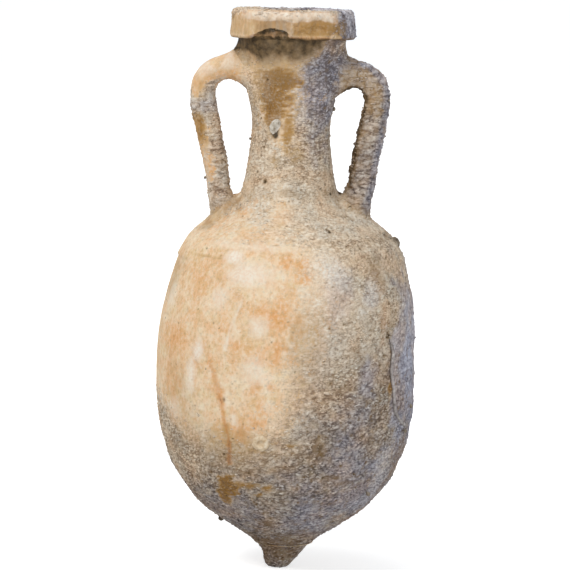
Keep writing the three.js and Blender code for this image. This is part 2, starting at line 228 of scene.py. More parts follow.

# %% [markdown]
# ## Where the sea left its marks
# A mark is an oval on the unrolled wall: its turn from the front in degrees, its height, its
# half width and half height in millimetres, and its strength. Ragged noise eats into the edge
# of each, so that no oval shows. Streaks, such as the rust that ran down the belly, are
# polylines with a width. Some brown marks are painted shade: a shadow under the neck shell, and
# shade under the collar.

# %% Marks
CRUST_EDGE = [
    (-180, 330), (-140, 300), (-120, 262), (-80, 256), (-61, 242), (-39, 222), (-20, 214), (-4, 224),
    (2, 270), (7, 372), (10, 500), (60, 560), (120, 540), (150, 470), (180, 330),
]
WARM_MARKS = [
    (6.5, 450, 13, 19, 1.0), (-2, 458, 11, 10, 0.7), (-4.5, 388, 19, 30, 0.8),
    (-14, 393, 22, 10, 0.7), (-48, 414, 26, 46, 0.55), (-49, 385, 15, 20, 0.55),
    (-31, 368, 22, 24, 0.5), (-21.5, 343, 12, 11, 0.6), (-12, 331, 38, 15, 0.6),
    (-3, 340, 10, 22, 0.6), (-12, 287, 12, 11, 0.8), (-6, 290, 7, 7, 0.8), (-11, 254, 22, 34, 0.55),
    (-33, 318, 15, 12, 0.5), (-58, 345, 32, 22, 0.5), (-60, 280, 26, 26, 0.35),
    (2, 336, 12, 24, 0.35), (-40, 440, 40, 20, 0.25), (22, 374, 20, 18, 0.6), (31, 440, 6, 26, 0.5),
    (-160, 420, 44, 60, 0.6), (150, 300, 40, 60, 0.5), (88, 500, 30, 20, 0.4),
    (-100, 350, 30, 60, 0.5), (-60, 520, 26, 22, 0.3), (10, 520, 40, 20, 0.25),
    (-12, 585, 14, 12, 0.5), (-25, 150, 50, 30, 0.25), (-24, 196, 12, 20, 0.9),
    (-20, 225, 40, 24, 0.5),
]
OCHRE_MARKS = [
    (-26, 674, 22, 30, 1.25), (-30, 655, 12, 20, 0.9), (-20, 704, 28, 18, 1.2),
    (-28, 690, 34, 42, 0.65), (-5, 628, 9, 26, 0.7), (4, 706, 12, 14, 0.6), (-44, 712, 14, 12, 0.6),
    (-20, 590, 9, 9, 0.5), (8, 600, 12, 14, 0.35), (-10.6, 211, 26, 2.2, 0.7),
    (2, 208, 14, 2.4, 0.8), (-12, 201, 18, 6, 0.5), (-31, 143, 14, 15, 1.7), (-35, 127, 9, 14, 1.3),
    (-20, 147, 30, 5, 0.7), (-9, 143, 9, 9, 0.8), (-13, 133, 7, 6, 0.7), (-24, 205, 44, 20, 0.25),
    (-26, 222, 8, 34, 0.45), (-48, 459, 26, 2.4, 0.5),
]
LIME_MARKS = [
    (-30, 462, 16, 11, 1.0), (-21, 440, 38, 24, 0.8), (-33.5, 407, 13, 17, 0.6),
    (-13, 371, 17, 15, 0.7), (-42, 330, 11, 18, 1.0), (-45, 299, 12, 27, 0.85),
    (-14, 312, 20, 16, 0.6), (19, 453, 30, 25, 0.7), (-70, 400, 16, 20, 0.5),
    (-22.5, 240, 7, 10, 0.6), (-58, 243, 14, 14, 0.5), (-10.6, 211, 13, 11, 0.7),
    (-20, 478, 70, 8, 0.5), (-24, 377, 3, 30, 0.4), (12, 410, 16, 24, 0.35),
    (-14, 300, 30, 10, 0.4), (-150, 350, 50, 40, 0.5), (-100, 300, 30, 50, 0.35),
    (-22, 640, 12, 16, 0.6), (14, 655, 9, 14, 0.6), (-38, 700, 12, 30, 0.5), (42, 416, 12, 26, 0.9),
    (56, 172, 22, 36, 0.6), (24, 330, 30, 40, 0.2),
]
GREY_MARKS = [
    (42, 416, 13, 24, 0.5), (56, 172, 28, 40, 1.0), (76, 300, 56, 140, 1.0), (64, 214, 30, 44, 0.9),
    (38, 300, 22, 30, 0.7), (52, 715, 46, 56, 1.0), (50, 660, 30, 60, 0.8), (34, 612, 14, 50, 0.4),
    (40, 752, 30, 20, 0.8), (44, 120, 50, 34, 0.7), (30, 168, 30, 40, 0.5), (100, 200, 70, 70, 0.7),
    (24, 90, 90, 46, 0.5), (-30, 84, 60, 40, 0.25), (30, 250, 40, 30, 0.35),
    (-140, 180, 60, 60, 0.6), (165, 640, 50, 90, 0.6), (10, 150, 40, 16, 0.5),
    (24, 420, 20, 40, 0.35),
]
# Brown marks are stains and dirt, and some painted shade: the one at turn -23, height 628 is a painted
# shadow under the neck shell, and those at heights 738 and 710 paint shade and stain under the collar.
BROWN_AND_SHADE_MARKS = [
    (47, 437, 22, 26, 0.5), (54, 380, 16, 28, 0.35), (33, 325, 18, 20, 0.35),
    (-66, 738, 16, 12, 0.7), (-82, 520, 40, 24, 0.6), (84, 522, 40, 20, 0.6),
    (-74, 494, 18, 8, 0.5), (-60, 540, 26, 14, 0.4), (60, 544, 20, 12, 0.5), (10, 545, 60, 10, 0.3),
    (-5, 42, 50, 30, 0.6), (16, 205, 10, 10, 0.9), (170, 520, 60, 30, 0.5), (24, 160, 26, 5, 0.6),
    (30, 150, 20, 6, 0.5), (-10, 84, 16, 8, 0.6), (70, 170, 16, 50, 0.5), (-23, 628, 6, 6, 1.1),
    (-28, 204, 80, 30, 0.3), (-52, 240, 60, 56, 0.25), (8, 350, 28, 52, 0.3),
    (-22, 710, 26, 14, 0.4), (-76, 420, 24, 34, 0.35),
]
RED_MARKS = [
    (-76, 497, 14, 3, 0.4), (-60, 234, 14, 18, 0.2), (48, 372, 10, 30, 0.25), (47, 425, 14, 20, 0.2),
]
RUST_RUN = [
    (-34.3, 318), (-32, 301), (-29.4, 279), (-28, 261), (-27, 240), (-25.4, 212), (-26.4, 179),
]
DARK_SPOTS = [
    (51.5, 356, 4.5, 7, 1.5), (-33, 561, 4, 4, 1.4), (27, 498, 4, 4, 1.3), (-27, 268, 3, 4, 1.0),
]
PALE_SPOT, OCHRE_SPOT = [(50, 367, 4, 4, 1.4)], [(53.4, 281, 7, 8, 1.5)]
RUST_WIDTH = [
    (179, 7), (200, 6.5), (212, 4), (225, 3.4), (250, 3), (262, 4.5), (280, 6), (292, 4.5),
    (300, 4), (318, 4),
]
PINK_SCAR = [(-22, 404), (-26, 365), (-27, 338)]
CRACK = [
    (51.5, 362), (52.5, 351), (53.6, 330), (53, 306), (54.6, 282), (55.6, 262), (57, 247),
    (62, 232),
]


def unrolled(place):
    """Turn from the front in degrees, radius and height of each place."""
    x, y, z = np.moveaxis(place, -1, 0)
    return np.degrees(np.arctan2(x, -y)), np.hypot(x, y), z


def marks(place, table, ragged):
    """The strongest of the oval marks at each place. Distance from the middle, in half sizes, is
    sqrt(u u + v v) plus ragged; the mark fades from full at 0.2 to nothing at 1.4."""
    turn, radius, height = unrolled(place)
    layer = np.zeros(turn.shape)
    for at_turn, at_height, half_across, half_up, strength in table:
        apart = (turn - at_turn + 180) % 360 - 180
        across = np.radians(apart) * radius / half_across
        far = np.hypot(across, (height - at_height) / half_up) + ragged
        layer = np.maximum(layer, strength * ease(far, 1.4, 0.2))
    return layer


def streak(place, route):
    """Distance in mm from each place to a polyline of (turn, height) points on the wall."""
    turn, radius, height = unrolled(place)
    nearest = np.full(turn.shape, 1e3)
    for (turn_a, z_a), (turn_b, z_b) in zip(route, route[1:]):
        ax, ay = np.radians(turn_a - turn) * radius, z_a - height
        bx, by = np.radians(turn_b - turn_a) * radius, z_b - z_a
        t = np.clip(-(ax * bx + ay * by) / (bx * bx + by * by), 0, 1)
        nearest = np.minimum(nearest, np.hypot(ax + t * bx, ay + t * by))
    return nearest


print(len(WARM_MARKS + OCHRE_MARKS + LIME_MARKS + GREY_MARKS + BROWN_AND_SHADE_MARKS), "marks by hand")

# %% [markdown]
# ## The handles' lines
# Each handle was a rolled strap, pressed on at both ends. Seen from the front, it is known by
# its outer edge, its inner edge and its half width, station by station. The wall has to know
# where they are, because the potter smeared clay up round their ends, so they come before it.

# %% Handle stations
LEFT_HANDLE = [
    (58, 754, 48, 652, 33), (71, 749, 55.5, 670, 29.5), (80.5, 744, 60, 681.5, 26.5),
    (89.5, 738.5, 67.5, 690.5, 24.5), (100, 734, 77, 697, 23), (112, 729.5, 88, 700, 22),
    (124, 722, 98.5, 697.5, 21.5), (134, 711.5, 105.5, 691, 21.5), (140.5, 699, 108, 683, 21.5),
    (142.8, 684, 108, 673.5, 21.5), (142, 667, 106, 661, 21.5), (138.5, 648, 101.5, 641.5, 21.5),
    (129.5, 609, 94, 603.5, 21.5), (121.5, 575, 88, 570.5, 21.5), (116.4, 548, 85.3, 548, 22.5),
    (114.2, 528, 81, 539, 24), (113.2, 514, 74, 527, 26.5), (115, 504, 73, 508, 29.5),
    (120.5, 495.5, 76, 492, 32.5), (129, 487, 82, 479, 35.5), (138, 474, 92, 464, 37),
]
RIGHT_HANDLE = [
    (58, 752, 48, 644, 33), (68, 747, 55.5, 661, 29.5), (75, 739.5, 59.5, 672.5, 26.5),
    (83, 733.5, 64.5, 680.5, 24.5), (94, 729.5, 73, 687.5, 23), (106, 726, 84.5, 693, 22.5),
    (118.5, 719, 95.5, 691.5, 22), (129, 709.5, 101.5, 685, 22), (135.3, 697, 103.5, 676.5, 22),
    (138.3, 681, 103, 667, 22), (138, 663, 100.5, 654.5, 22), (134.5, 641, 96.5, 635.5, 22),
    (130.3, 614, 91, 609, 22), (124.8, 588, 88, 584, 22), (121.4, 562, 84.5, 560, 22.5),
    (118, 541, 80.5, 548, 24), (114.2, 525, 74, 536, 26.5), (113, 512, 72, 517, 29.5),
    (117, 502, 74, 500, 32.5), (125, 494, 79, 486, 35.5), (134, 484, 86, 472, 37.5),
    (141, 472, 94, 462, 38),
]


def turns(count):
    """Even angles round a circle."""
    return np.arange(count) * 2 * np.pi / count


def handle_rings(side, stations, step, sides):
    """Rings of a handle: the middle between its edges, plus cos(a) of half the way to the outer
    edge and sin(a) of the half width towards the viewer."""
    line = spline(stations, 3000)
    middle = (line[:, 0:2] + line[:, 2:4]) / 2
    run = along(middle)
    place = np.linspace(0, run[-1], round(run[-1] / step) + 1)
    line = np.stack([np.interp(place, run, column) for column in line.T], axis=1)
    middle = (line[:, 0:2] + line[:, 2:4]) / 2
    depth = (line[:, 0:2] - line[:, 2:4]) / 2
    angle = turns(sides)
    x = side * (middle[:, :1] + depth[:, :1] * np.cos(angle))
    z = middle[:, 1:] + depth[:, 1:] * np.cos(angle)
    y = -side * line[:, 4:] * np.sin(angle)
    return np.stack([x, y, z], axis=-1)


def grid_out(grid):
    """Outward direction at each point of a grid: the cross of the way to the next column with
    the way to the next row."""
    side = np.roll(grid, -1, axis=1) - np.roll(grid, 1, axis=1)
    out = np.cross(side, np.gradient(grid, axis=0))
    return out / np.maximum(np.linalg.norm(out, axis=-1, keepdims=True), 1e-9)


ends, ends_out = [], []
for side, stations in ((-1, LEFT_HANDLE), (1, RIGHT_HANDLE)):
    rings = handle_rings(side, stations, 1.8, 72)
    ends.append(rings.reshape(-1, 3))
    ends_out.append(grid_out(rings).reshape(-1, 3))
ends, ends_out = np.concatenate(ends), np.concatenate(ends_out)
over_wall = above_wall(ends)[0]
near_wall = (over_wall > -4) & (over_wall < 26)
handle_ends, handle_ends_out = ends[near_wall], ends_out[near_wall]
print(len(handle_ends), "points say where the handles' ends are")

# %% [markdown]
# ## How thick the crust is
# A full crust is a millimetre or two of lime, thicker where waves of growth meet. The solids have
# the same thickness from the same formula, so the skins stay close to them.

# %% Thickness of the crust
CRUST, CRUST_LUMP = 1.6, 1.2
CRUST_FOOT, CRUST_HEAD = (46, 76), (484, 516)


def crust_lumps(turn, height):
    """Thickness of a full crust, the same as on the solids: two waves, one round the jar and one
    up it, each bent by another, in mm."""
    t = np.radians(turn)
    round_it = np.sin(8 * t + height / 31 + 0.9 * np.sin(5 * t))
    up_it = np.cos(height / 11.5 + 2 * np.sin(3 * t))
    ends = ease(height, *CRUST_FOOT) * (1 - ease(height, *CRUST_HEAD))
    return ends * (CRUST + CRUST_LUMP * round_it * up_it)


print("crust up the front:", np.round(crust_lumps(0, np.arange(60, 500, 60)), 1), "mm")

# %% [markdown]
# ## Clay smeared round the handles' ends
# The potter pushed wet clay from the wall up against each handle. A smooth minimum of two
# distances makes such a fillet: far from one of the surfaces it changes nothing, and in the
# corner between them it fills.

# %% Smeared clay
WEB, WEB_MOST = 17, 15


def handle_gap(points):
    """Signed distance to the handles: how far a point lies out of the plane of the nearest of
    their surface points."""
    gap = np.empty(len(points))
    for chunk in np.array_split(np.arange(len(points)), len(points) // 500 + 1):
        near = points[chunk].astype(np.float32)
        pairs = near @ handle_ends.T.astype(np.float32)
        pick = (pairs - 0.5 * (handle_ends**2).sum(-1).astype(np.float32)).argmax(-1)
        gap[chunk] = ((points[chunk] - handle_ends[pick]) * handle_ends_out[pick]).sum(-1)
    return gap


def web(place, out):
    """Clay smeared up between the wall and the handles. The two surfaces join where a smooth
    minimum of the distance to each is nought: min(a, b) - h h WEB / 4, with
    h = max(WEB - |a - b|, 0) / WEB. Each place moves out until it gets there, in a few steps."""
    flat, way = place.reshape(-1, 3), out.reshape(-1, 3)
    lift = np.zeros(len(flat))
    aside, across, height = np.abs(flat[:, 0]), np.abs(flat[:, 1]), flat[:, 2]
    near = np.flatnonzero((height > 450) & (across < 75) & (aside > 30))
    start = handle_gap(flat[near])
    keep = (start < 1.2 * WEB) & (start > -12)
    near, start = near[keep], start[keep]
    up = np.zeros(len(near))
    for _ in range(6):
        gap = handle_gap(flat[near] + up[:, None] * way[near])
        share = np.maximum(WEB - np.abs(up - gap), 0) / WEB
        field = np.minimum(up, gap) - share * share * WEB / 4
        up = np.clip(up - 0.7 * field, 0, WEB_MOST)
    lift[near] = np.maximum(up - 0.4, 0) * ease(start, -10, -2)
    return lift.reshape(place.shape[:-1])


corner = (outline[:, 1] > 485) & (outline[:, 1] < 535)
place, out = (np.insert(line[corner], 1, 0, axis=1) for line in (outline, outward))
print("smeared clay is up to", round(web(place, out).max(), 1), "mm thick behind the right handle")

# %% [markdown]
# ## Where the crust lies
# The jar's left front stayed clean. The crust has a ragged edge: it covers the lowest quarter of
# the jar on the left, climbs in front and covers all of the right flank, and on the neck it lies
# all round, thinly on the left. In the shelter of the collar a smooth zone is left, stained and
# painted with the collar's shade.

# %% Cover of the crust
def rightward(turn, low, high):
    """0 left of low and 1 right of high, over the front, and 0 again at the back."""
    return ease(turn, low, high) * ease(np.abs(turn), 179, 150)


def grain_tops(place, size, seed, width=0.6, least=0.3):
    """Domes in cells size mm wide, each as wide as width and as high as least to 1."""
    dot, own = cells(place, size, seed)
    return np.clip(1 - dot / width, 0, 1) ** 0.7 * (least + (1 - least) * own)


def crust_cover(place, broad, ragged):
    """How much crust covers the wall, 0 to 1, how thickly grains lie on it, and how far inside
    the edge of the crust a place is, in mm. The edge is wide at the front right, and the crust
    on shoulder and neck goes its own way."""
    turn, radius, height = unrolled(place)
    inside = np.sign(looked_up(turn, CRUST_EDGE) - height)
    depth = inside * np.minimum(streak(place, CRUST_EDGE), 90) + 12 * broad + 10 * ragged
    wide = rightward(turn, -24, 8) * ease(height, 190, 270)
    body = ease(depth, -36 - 30 * wide, 52 + 44 * wide) * (1 - 0.12 * ease(height, 300, 400))
    side = ease(np.abs((turn - 60 + 180) % 360 - 180), 62, 20)
    low = ease(height, 330, 210)
    body_grit = body**1.3 * np.clip(0.25 + 0.35 * side + 0.7 * low + 0.5 * broad, 0, 1)
    right = rightward(turn, -12, 26)
    worn = np.maximum(right, ease(np.abs(turn), 95, 130))
    shoulder = 0.3 + 0.35 * worn + 0.3 * broad
    neck = 0.6 + 0.4 * worn + 0.4 * broad
    top = shoulder + (neck - shoulder) * ease(height, 520, 575)
    upper = ease(height, 468, 492)
    cover = body + (np.clip(top, 0, 1) - body) * upper
    grit = body_grit + (np.clip(top - 0.1, 0, 1) - body_grit) * upper
    grit = grit * (1 - 0.6 * right * ease(height, 650, 690))
    return np.clip(cover, 0, 1), np.clip(grit, 0, 1), depth


SHELTER_HEIGHT = 714


def under_collar(turn, height, broad, ragged):
    """The smooth zone in the shelter of the collar, left of a slanting border, stained and painted with
    the collar's shade.
    """
    border = turn - 0.67 * (height - SHELTER_HEIGHT) + 7 * broad + 6 * ragged
    foot = height + 7 * broad + 3 * ragged - 12 * ease(turn, -36, -60)
    return ease(border, 27, -7) * ease(turn + 8 * broad, -128, -104) * ease(foot, 700, 738)


front_and_flank = np.array([[0.0, -BELLY_RADIUS, 300.0], [150.0, -105.0, 300.0]])
cover = crust_cover(front_and_flank, 0, 0)[0]
print("crust covers", np.round(cover, 2), "of the front and the right flank")

# %% [markdown]
# ## How the weather shapes the wall
# One function turns places on the wall into a height of relief and into layers of finish:
# crust, how light its tops are, how bleached and how grey it is, warm clay, ochre, lime, brown
# dirt that also holds painted shade under the collar and in the crack, and red rust. The skin of
# every thrown piece is moved by the relief, and the layers are kept on its points for the
# material to read. Doing both from the same noise makes the colour fit the bumps: lighter on
# raised grains and darker between them. One more layer says how thickly grains lie.

# %% Relief and layers of the wall
RIDGE_HEIGHT = 481
SLICK_EDGE, FLANK_TURN = 52.5, 78
RUST_KNOT = 266
LIGHTER_TOPS = ((0.22, 484, 492, 540, 640), (0.08, 290, 340, 476, 484), (0.08, 55, 75, 110, 150))
PALE_BY_HEIGHT = [
    (0, 0), (130, 0.1), (200, 0.3), (260, 0.5), (330, 0.75), (390, 1.1), (560, 1.2), (640, 0.9),
    (670, 0.5), (HEIGHT, 0.2),
]


def weather(place):
    """Relief in mm and the layers of finish at each place on the turned wall."""
    turn, radius, height = unrolled(place)
    broad, ragged = rough(place, 46, 11), rough(place, 11, 21)
    crust, grit, depth = crust_cover(place, broad, ragged)
    sheltered = under_collar(turn, height, broad, ragged)
    crust, grit = crust * (1 - 0.9 * sheltered), grit * (1 - sheltered)
    front_right = rightward(turn, 8, 34)
    from_crack = turn - SLICK_EDGE - 9 * ease(height, 345, 400) + 2 * ragged
    slick = ease(from_crack, 0, 3) * ease(turn, 104, 90) * band(height, 212, 236, 370, 420)
    grit = grit * (1 - 0.6 * slick)
    spots = marks(place, DARK_SPOTS, 0.15 * ragged)
    flat_place = place * (1, 1, 1.9)
    grains = grain_tops(flat_place, 5.2, 31, 0.62, 0.35)
    pit_dot, pit_own = cells(place, 11, 41)
    pitted = 0.3 * crust + 0.4 * front_right * ease(height, 330, 240)
    pit = np.clip(1 - pit_dot / (0.12 + 0.15 * crust), 0, 1) ** 0.6 * (pit_own > 0.8 - pitted)
    turning = noise(place * (0.02, 0.02, 1), 2.6, 51) + noise(place * (0.02, 0.02, 1), 6.5, 52)
    crack = ease(streak(place, CRACK) + ragged, 2.6, 0.6) * ease(noise(place, 10, 63), -0.25, 0.25)
    crack = crack * (0.15 + 0.85 * ease(height, 285, 325))
    above_ridge = height - RIDGE_HEIGHT - 3 * noise(place, 60, 62)
    ridge = np.exp(-((above_ridge / 1.1) ** 2)) * ease(noise(place, 8, 61), 0.1, 0.4)
    ridge = ridge * ease(np.abs(turn + 2), 34, 24)
    lumps = crust_lumps(turn, height) + 0.5 * noise(place, 19, 72) + 0.45 * noise(flat_place, 6, 73)
    relief = (
        0.5 * noise(place, 85, 71) + 0.12 * turning * (1 - crust) + crust * (lumps - 1.0)
        + 1.0 * grit * grains - 1.1 * pit * (0.3 + crust)
        - 0.9 * crack - 0.6 * ridge - 1.2 * spots + 0.35 * slick - 0.9 * ease(height, 66, 40)
        - 0.35 * np.exp(-((above_ridge / 3.4) ** 2)) * ease(np.abs(turn), 75, 40)
    )
    relief = relief * ease(height, 0.5, 9)

    folds = np.abs(noise(flat_place, 4.6, 81))
    tops = 0.5 + 0.5 * (grains - 0.35) * (0.4 + grit) + 0.7 * (folds - 0.25) - 0.08 * grit
    low_right = 0.11 * ease(height, 250, 190) - 0.24 * ease(height, 640, 690)
    tops = tops + 0.12 * ragged + front_right * low_right
    for lighter, *heights in LIGHTER_TOPS:
        tops = tops + lighter * band(height, *heights)
    left = ease(turn, 20, -30) * ease(np.abs(turn), 179, 130)
    pale = looked_up(height, PALE_BY_HEIGHT) - 0.3 * ease(np.abs(turn - FLANK_TURN), 40, 15)
    pale = pale + 0.3 * broad + 0.6 * left * band(height, 110, 180, 250, 320)
    on_right = ease(turn, -24, 8) * band(height, 200, 270, 390, 440)
    inwards = np.maximum(depth, 0) / (58 + 60 * ease(height, 220, 320)) * ease(height, 560, 480)
    pale = np.maximum(pale, 1.2 - 0.4 * on_right - inwards)

    grey = marks(place, GREY_MARKS, 0.5 * broad + 0.3 * ragged)
    grey = np.maximum(grey, (0.62 + 0.2 * broad) * slick)
    flecks = 0.35 * noise(place * (0.5, 0.5, 1.6), 3.6, 82)
    ochre = marks(place, OCHRE_MARKS, 0.3 * broad + 0.25 * ragged + flecks) * (1 - 0.8 * sheltered)
    thin = 1 - 0.5 * np.clip(ochre, 0, 1) * ease(height, 600, 640)
    ochre = np.maximum(ochre, marks(place, OCHRE_SPOT, 0.15 * ragged))
    lime = marks(place, LIME_MARKS, 0.25 * broad + 0.25 * ragged) * (1 - 0.8 * sheltered)
    lime = np.maximum(lime, 0.55 * ease(streak(place, PINK_SCAR) + ragged, 3.4, 1))
    lime = np.maximum(lime, 0.4 * ease(flecks, 0.12, 0.24) * band(height, 560, 600, 690, 725)) * thin
    lime = np.maximum(lime, marks(place, PALE_SPOT, 0.15 * ragged))
    rust = (streak(place, RUST_RUN) + 1.6 * ragged) / looked_up(height, RUST_WIDTH)
    warm = marks(place, WARM_MARKS, 0.25 * broad + 0.2 * ragged)
    warm = np.maximum(warm, 0.9 * ease(rust, 2.2, 0.3))
    rust_core = 0.3 + 0.42 * ease(height, 262, 212) + 0.5 * ease(np.abs(height - RUST_KNOT), 9, 2)
    red = np.maximum(marks(place, RED_MARKS, 0.6 * ragged), rust_core * ease(rust, 0.9, 0.1))
    # Painted shade with a stain in the shelter of the collar: strongest towards the left, fading below
    # 722 mm.
    stain_and_shade = 0.97 + 0.12 * ease(turn, -24, -52) + 0.05 * noise(place * (1, 1, 0.3), 7, 83)
    stain_and_shade = stain_and_shade - 0.22 * ease(height, 722, 704)
    brown = marks(place, BROWN_AND_SHADE_MARKS, 0.4 * broad + 0.4 * ragged)
    # Brown is dirt, and also paints shade into the crack; it darkens the pits, the ridge and the dark
    # spots that the relief sinks.
    brown = np.maximum(brown, stain_and_shade * sheltered) + 0.6 * crack + 1.2 * pit + 0.6 * ridge + spots
    layers = {
        "crust": crust, "tops": tops, "ochre": ochre, "lime": lime, "grey": grey, "brown": brown,
        "pale": pale, "grit": grit * thin, "red": red, "warm": warm,
    }
    return relief, clipped(layers)


relief = weather(front_and_flank)[0]
print("relief at the front and the right flank", np.round(relief, 2), "mm")

# %% [markdown]
# ## Materials written as sums
# A material is a sum of noises and layers, so the helpers below let it be written as one: adding
# or multiplying two outputs makes the math node. All noise is on Object coordinates, so that
# grain runs on from one piece to the next.

# %% Node helpers
def linear(*rgb):
    """A colour as it is written on a screen, 0 to 255, made linear for the shader."""
    c = np.array(rgb) / 255
    return (*np.where(c <= 0.04045, c / 12.92, ((c + 0.055) / 1.055) ** 2.4), 1)


class Value:
    """A node's output that adds and multiplies as a number does: each sum is one math node."""

    def __init__(self, finish, socket):
        self.finish, self.socket = finish, socket

    def combine(self, kind, other):
        return self.finish.node("Math", {0: self, 1: other}, "Value", operation=kind)

    def __add__(self, other):
        return self.combine("ADD", other)

    def __sub__(self, other):
        return self.combine("SUBTRACT", other)

    def __mul__(self, other):
        return self.combine("MULTIPLY", other)

    __rmul__ = __mul__


DULL = 0.25


class Finish:
    """A material whose nodes are added one by one and joined as they are made."""

    def __init__(self, name, roughness):
        self.material = bpy.data.materials.new(name)
        self.material.use_nodes = True
        self.tree = self.material.node_tree
        self.shader = self.tree.nodes["Principled BSDF"]
        self.shade("Roughness", roughness)
        self.shade("Specular IOR Level", DULL)
        self.place = self.node("TexCoord", {}, "Object")

    def put(self, socket, value):
        """A link if the value is another node's output, and otherwise a number or a colour."""
        if isinstance(value, Value):
            self.tree.links.new(value.socket, socket)
        else:
            socket.default_value = value

    def shade(self, name, value):
        self.put(self.shader.inputs[name], value)

    def node(self, kind, inputs, output, **settings):
        """A new node: its settings, then its inputs by name or number. Gives one output."""
        made = self.tree.nodes.new("ShaderNode" + kind)
        for name, value in settings.items():
            setattr(made, name, value)
        for name, value in inputs.items():
            self.put(made.inputs[name], value)
        return Value(self, made.outputs[output])

    def layer(self, name):
        return self.node("Attribute", {}, "Fac", attribute_name=name)

    def squashed(self, squash):
        return self.node("Mapping", {"Vector": self.place, "Scale": squash}, "Vector")

    def grain(self, scale, detail=4, squash=(1, 1, 1)):
        """Noise with features about 1 / scale metres wide, flattened by squash."""
        inputs = {"Vector": self.squashed(squash), "Scale": scale, "Detail": detail}
        return self.node("TexNoise", inputs, "Fac")

    def dots(self, scale, width):
        """Small soft dots about 1 / scale metres apart, some strong and most of them none."""
        inputs = {"Vector": self.place, "Scale": scale}
        near = self.span(self.node("TexVoronoi", inputs, "Distance"), width, 2.2 * width, 1, 0)
        return near * self.span(self.node("TexVoronoi", inputs, "Color"), 0.6, 0.9, 0, 0.75)

    def scales(self, scale, squash, bend):
        """Lime scales 1 / scale metres wide, flattened by squash: 0 in the gaps between them and
        1 on them, and a tone of its own for each. Noise bends their edges."""
        flat = self.squashed([scale * s for s in squash])
        swirl = self.node("TexNoise", {"Vector": flat, "Scale": 1.3}, "Color")
        inputs = {0: swirl, 1: (bend, bend, bend), 2: flat}
        bent = self.node("VectorMath", inputs, "Vector", operation="MULTIPLY_ADD")
        inputs = {"Vector": bent, "Scale": 1}
        edge = self.node("TexVoronoi", inputs, "Distance", feature="DISTANCE_TO_EDGE")
        return self.span(edge, 0.02, 0.2), self.node("TexVoronoi", inputs, "Color")

    def ramp(self, amount, *stops):
        """Colours in order of amount: each stop is a position and a colour."""
        colours = self.node("ValToRGB", {"Fac": amount}, "Color")
        elements = colours.socket.node.color_ramp.elements
        while len(elements) < len(stops):
            elements.new(0.5)
        for element, (position, colour) in zip(elements, stops):
            element.position = position
            element.color = colour
        return colours

    def span(self, value, low, high, to_low=0.0, to_high=1.0):
        """A value between low and high, stretched to another span and kept inside it."""
        inputs = {"Value": value, "From Min": low, "From Max": high}
        inputs.update({"To Min": to_low, "To Max": to_high})
        return self.node("MapRange", inputs, "Result")

    def mix(self, amount, under, over, blend="MIX"):
        """One colour over another. A mix node's colours are its inputs 6 and 7 and output 2."""
        inputs = {0: amount, 6: under, 7: over}
        return self.node("Mix", inputs, 2, data_type="RGBA", blend_type=blend)

    def bump(self, height, distance, strength):
        inputs = {"Height": height, "Distance": distance, "Strength": strength}
        self.shade("Normal", self.node("Bump", inputs, "Normal"))


print("a screen's 128 is", round(linear(128, 128, 128)[0], 3), "in the shader")

# %% [markdown]
# ## Clay, crust and stains as one material
# The same few things cover every clay piece, so one material serves them all: the layers on the
# points say how much of each there is. Colour ramps go from deep to light inside each finish,
# and fine noise adds the grain that is too small for points. The bump is only the last half
# millimetre; all the larger shapes are in the meshes.

# %% Clay, crust and stains
CLAY_CREAM, CLAY_PALE = linear(243, 224, 196), linear(236, 208, 172)
CLAY_WARM, CLAY_DEEP, CLAY_ORANGE = linear(231, 196, 154), linear(222, 182, 138), linear(224, 163, 98)
OCHRE_LIGHT, OCHRE_DEEP, OCHRE_DARK = linear(200, 162, 104), linear(164, 120, 58), linear(124, 88, 36)
LIME_PALE, LIME_PINK = linear(244, 236, 222), linear(236, 218, 198)
CRUST_DARK, CRUST_MID, CRUST_LIGHT = linear(80, 68, 60), linear(164, 148, 138), linear(234, 222, 210)
BLEACHED_DARK, BLEACHED_MID = linear(156, 132, 108), linear(229, 208, 181)
BLEACHED_LIGHT = linear(250, 239, 220)
GREY_DARK, GREY_MID, GREY_LIGHT = linear(98, 95, 103), linear(175, 173, 185), linear(223, 223, 232)
BROWN_DARK, BROWN_LIGHT = linear(54, 41, 21), linear(150, 120, 80)
TINT_PINK, TINT_NONE, TINT_BLUE = linear(255, 246, 238), linear(254, 254, 254), linear(245, 249, 254)
BLUSH_RED, BLUSH_GREEN = linear(254, 247, 240), linear(250, 250, 243)
RED_DARK, RED_LIGHT = linear(104, 54, 30), linear(200, 136, 78)


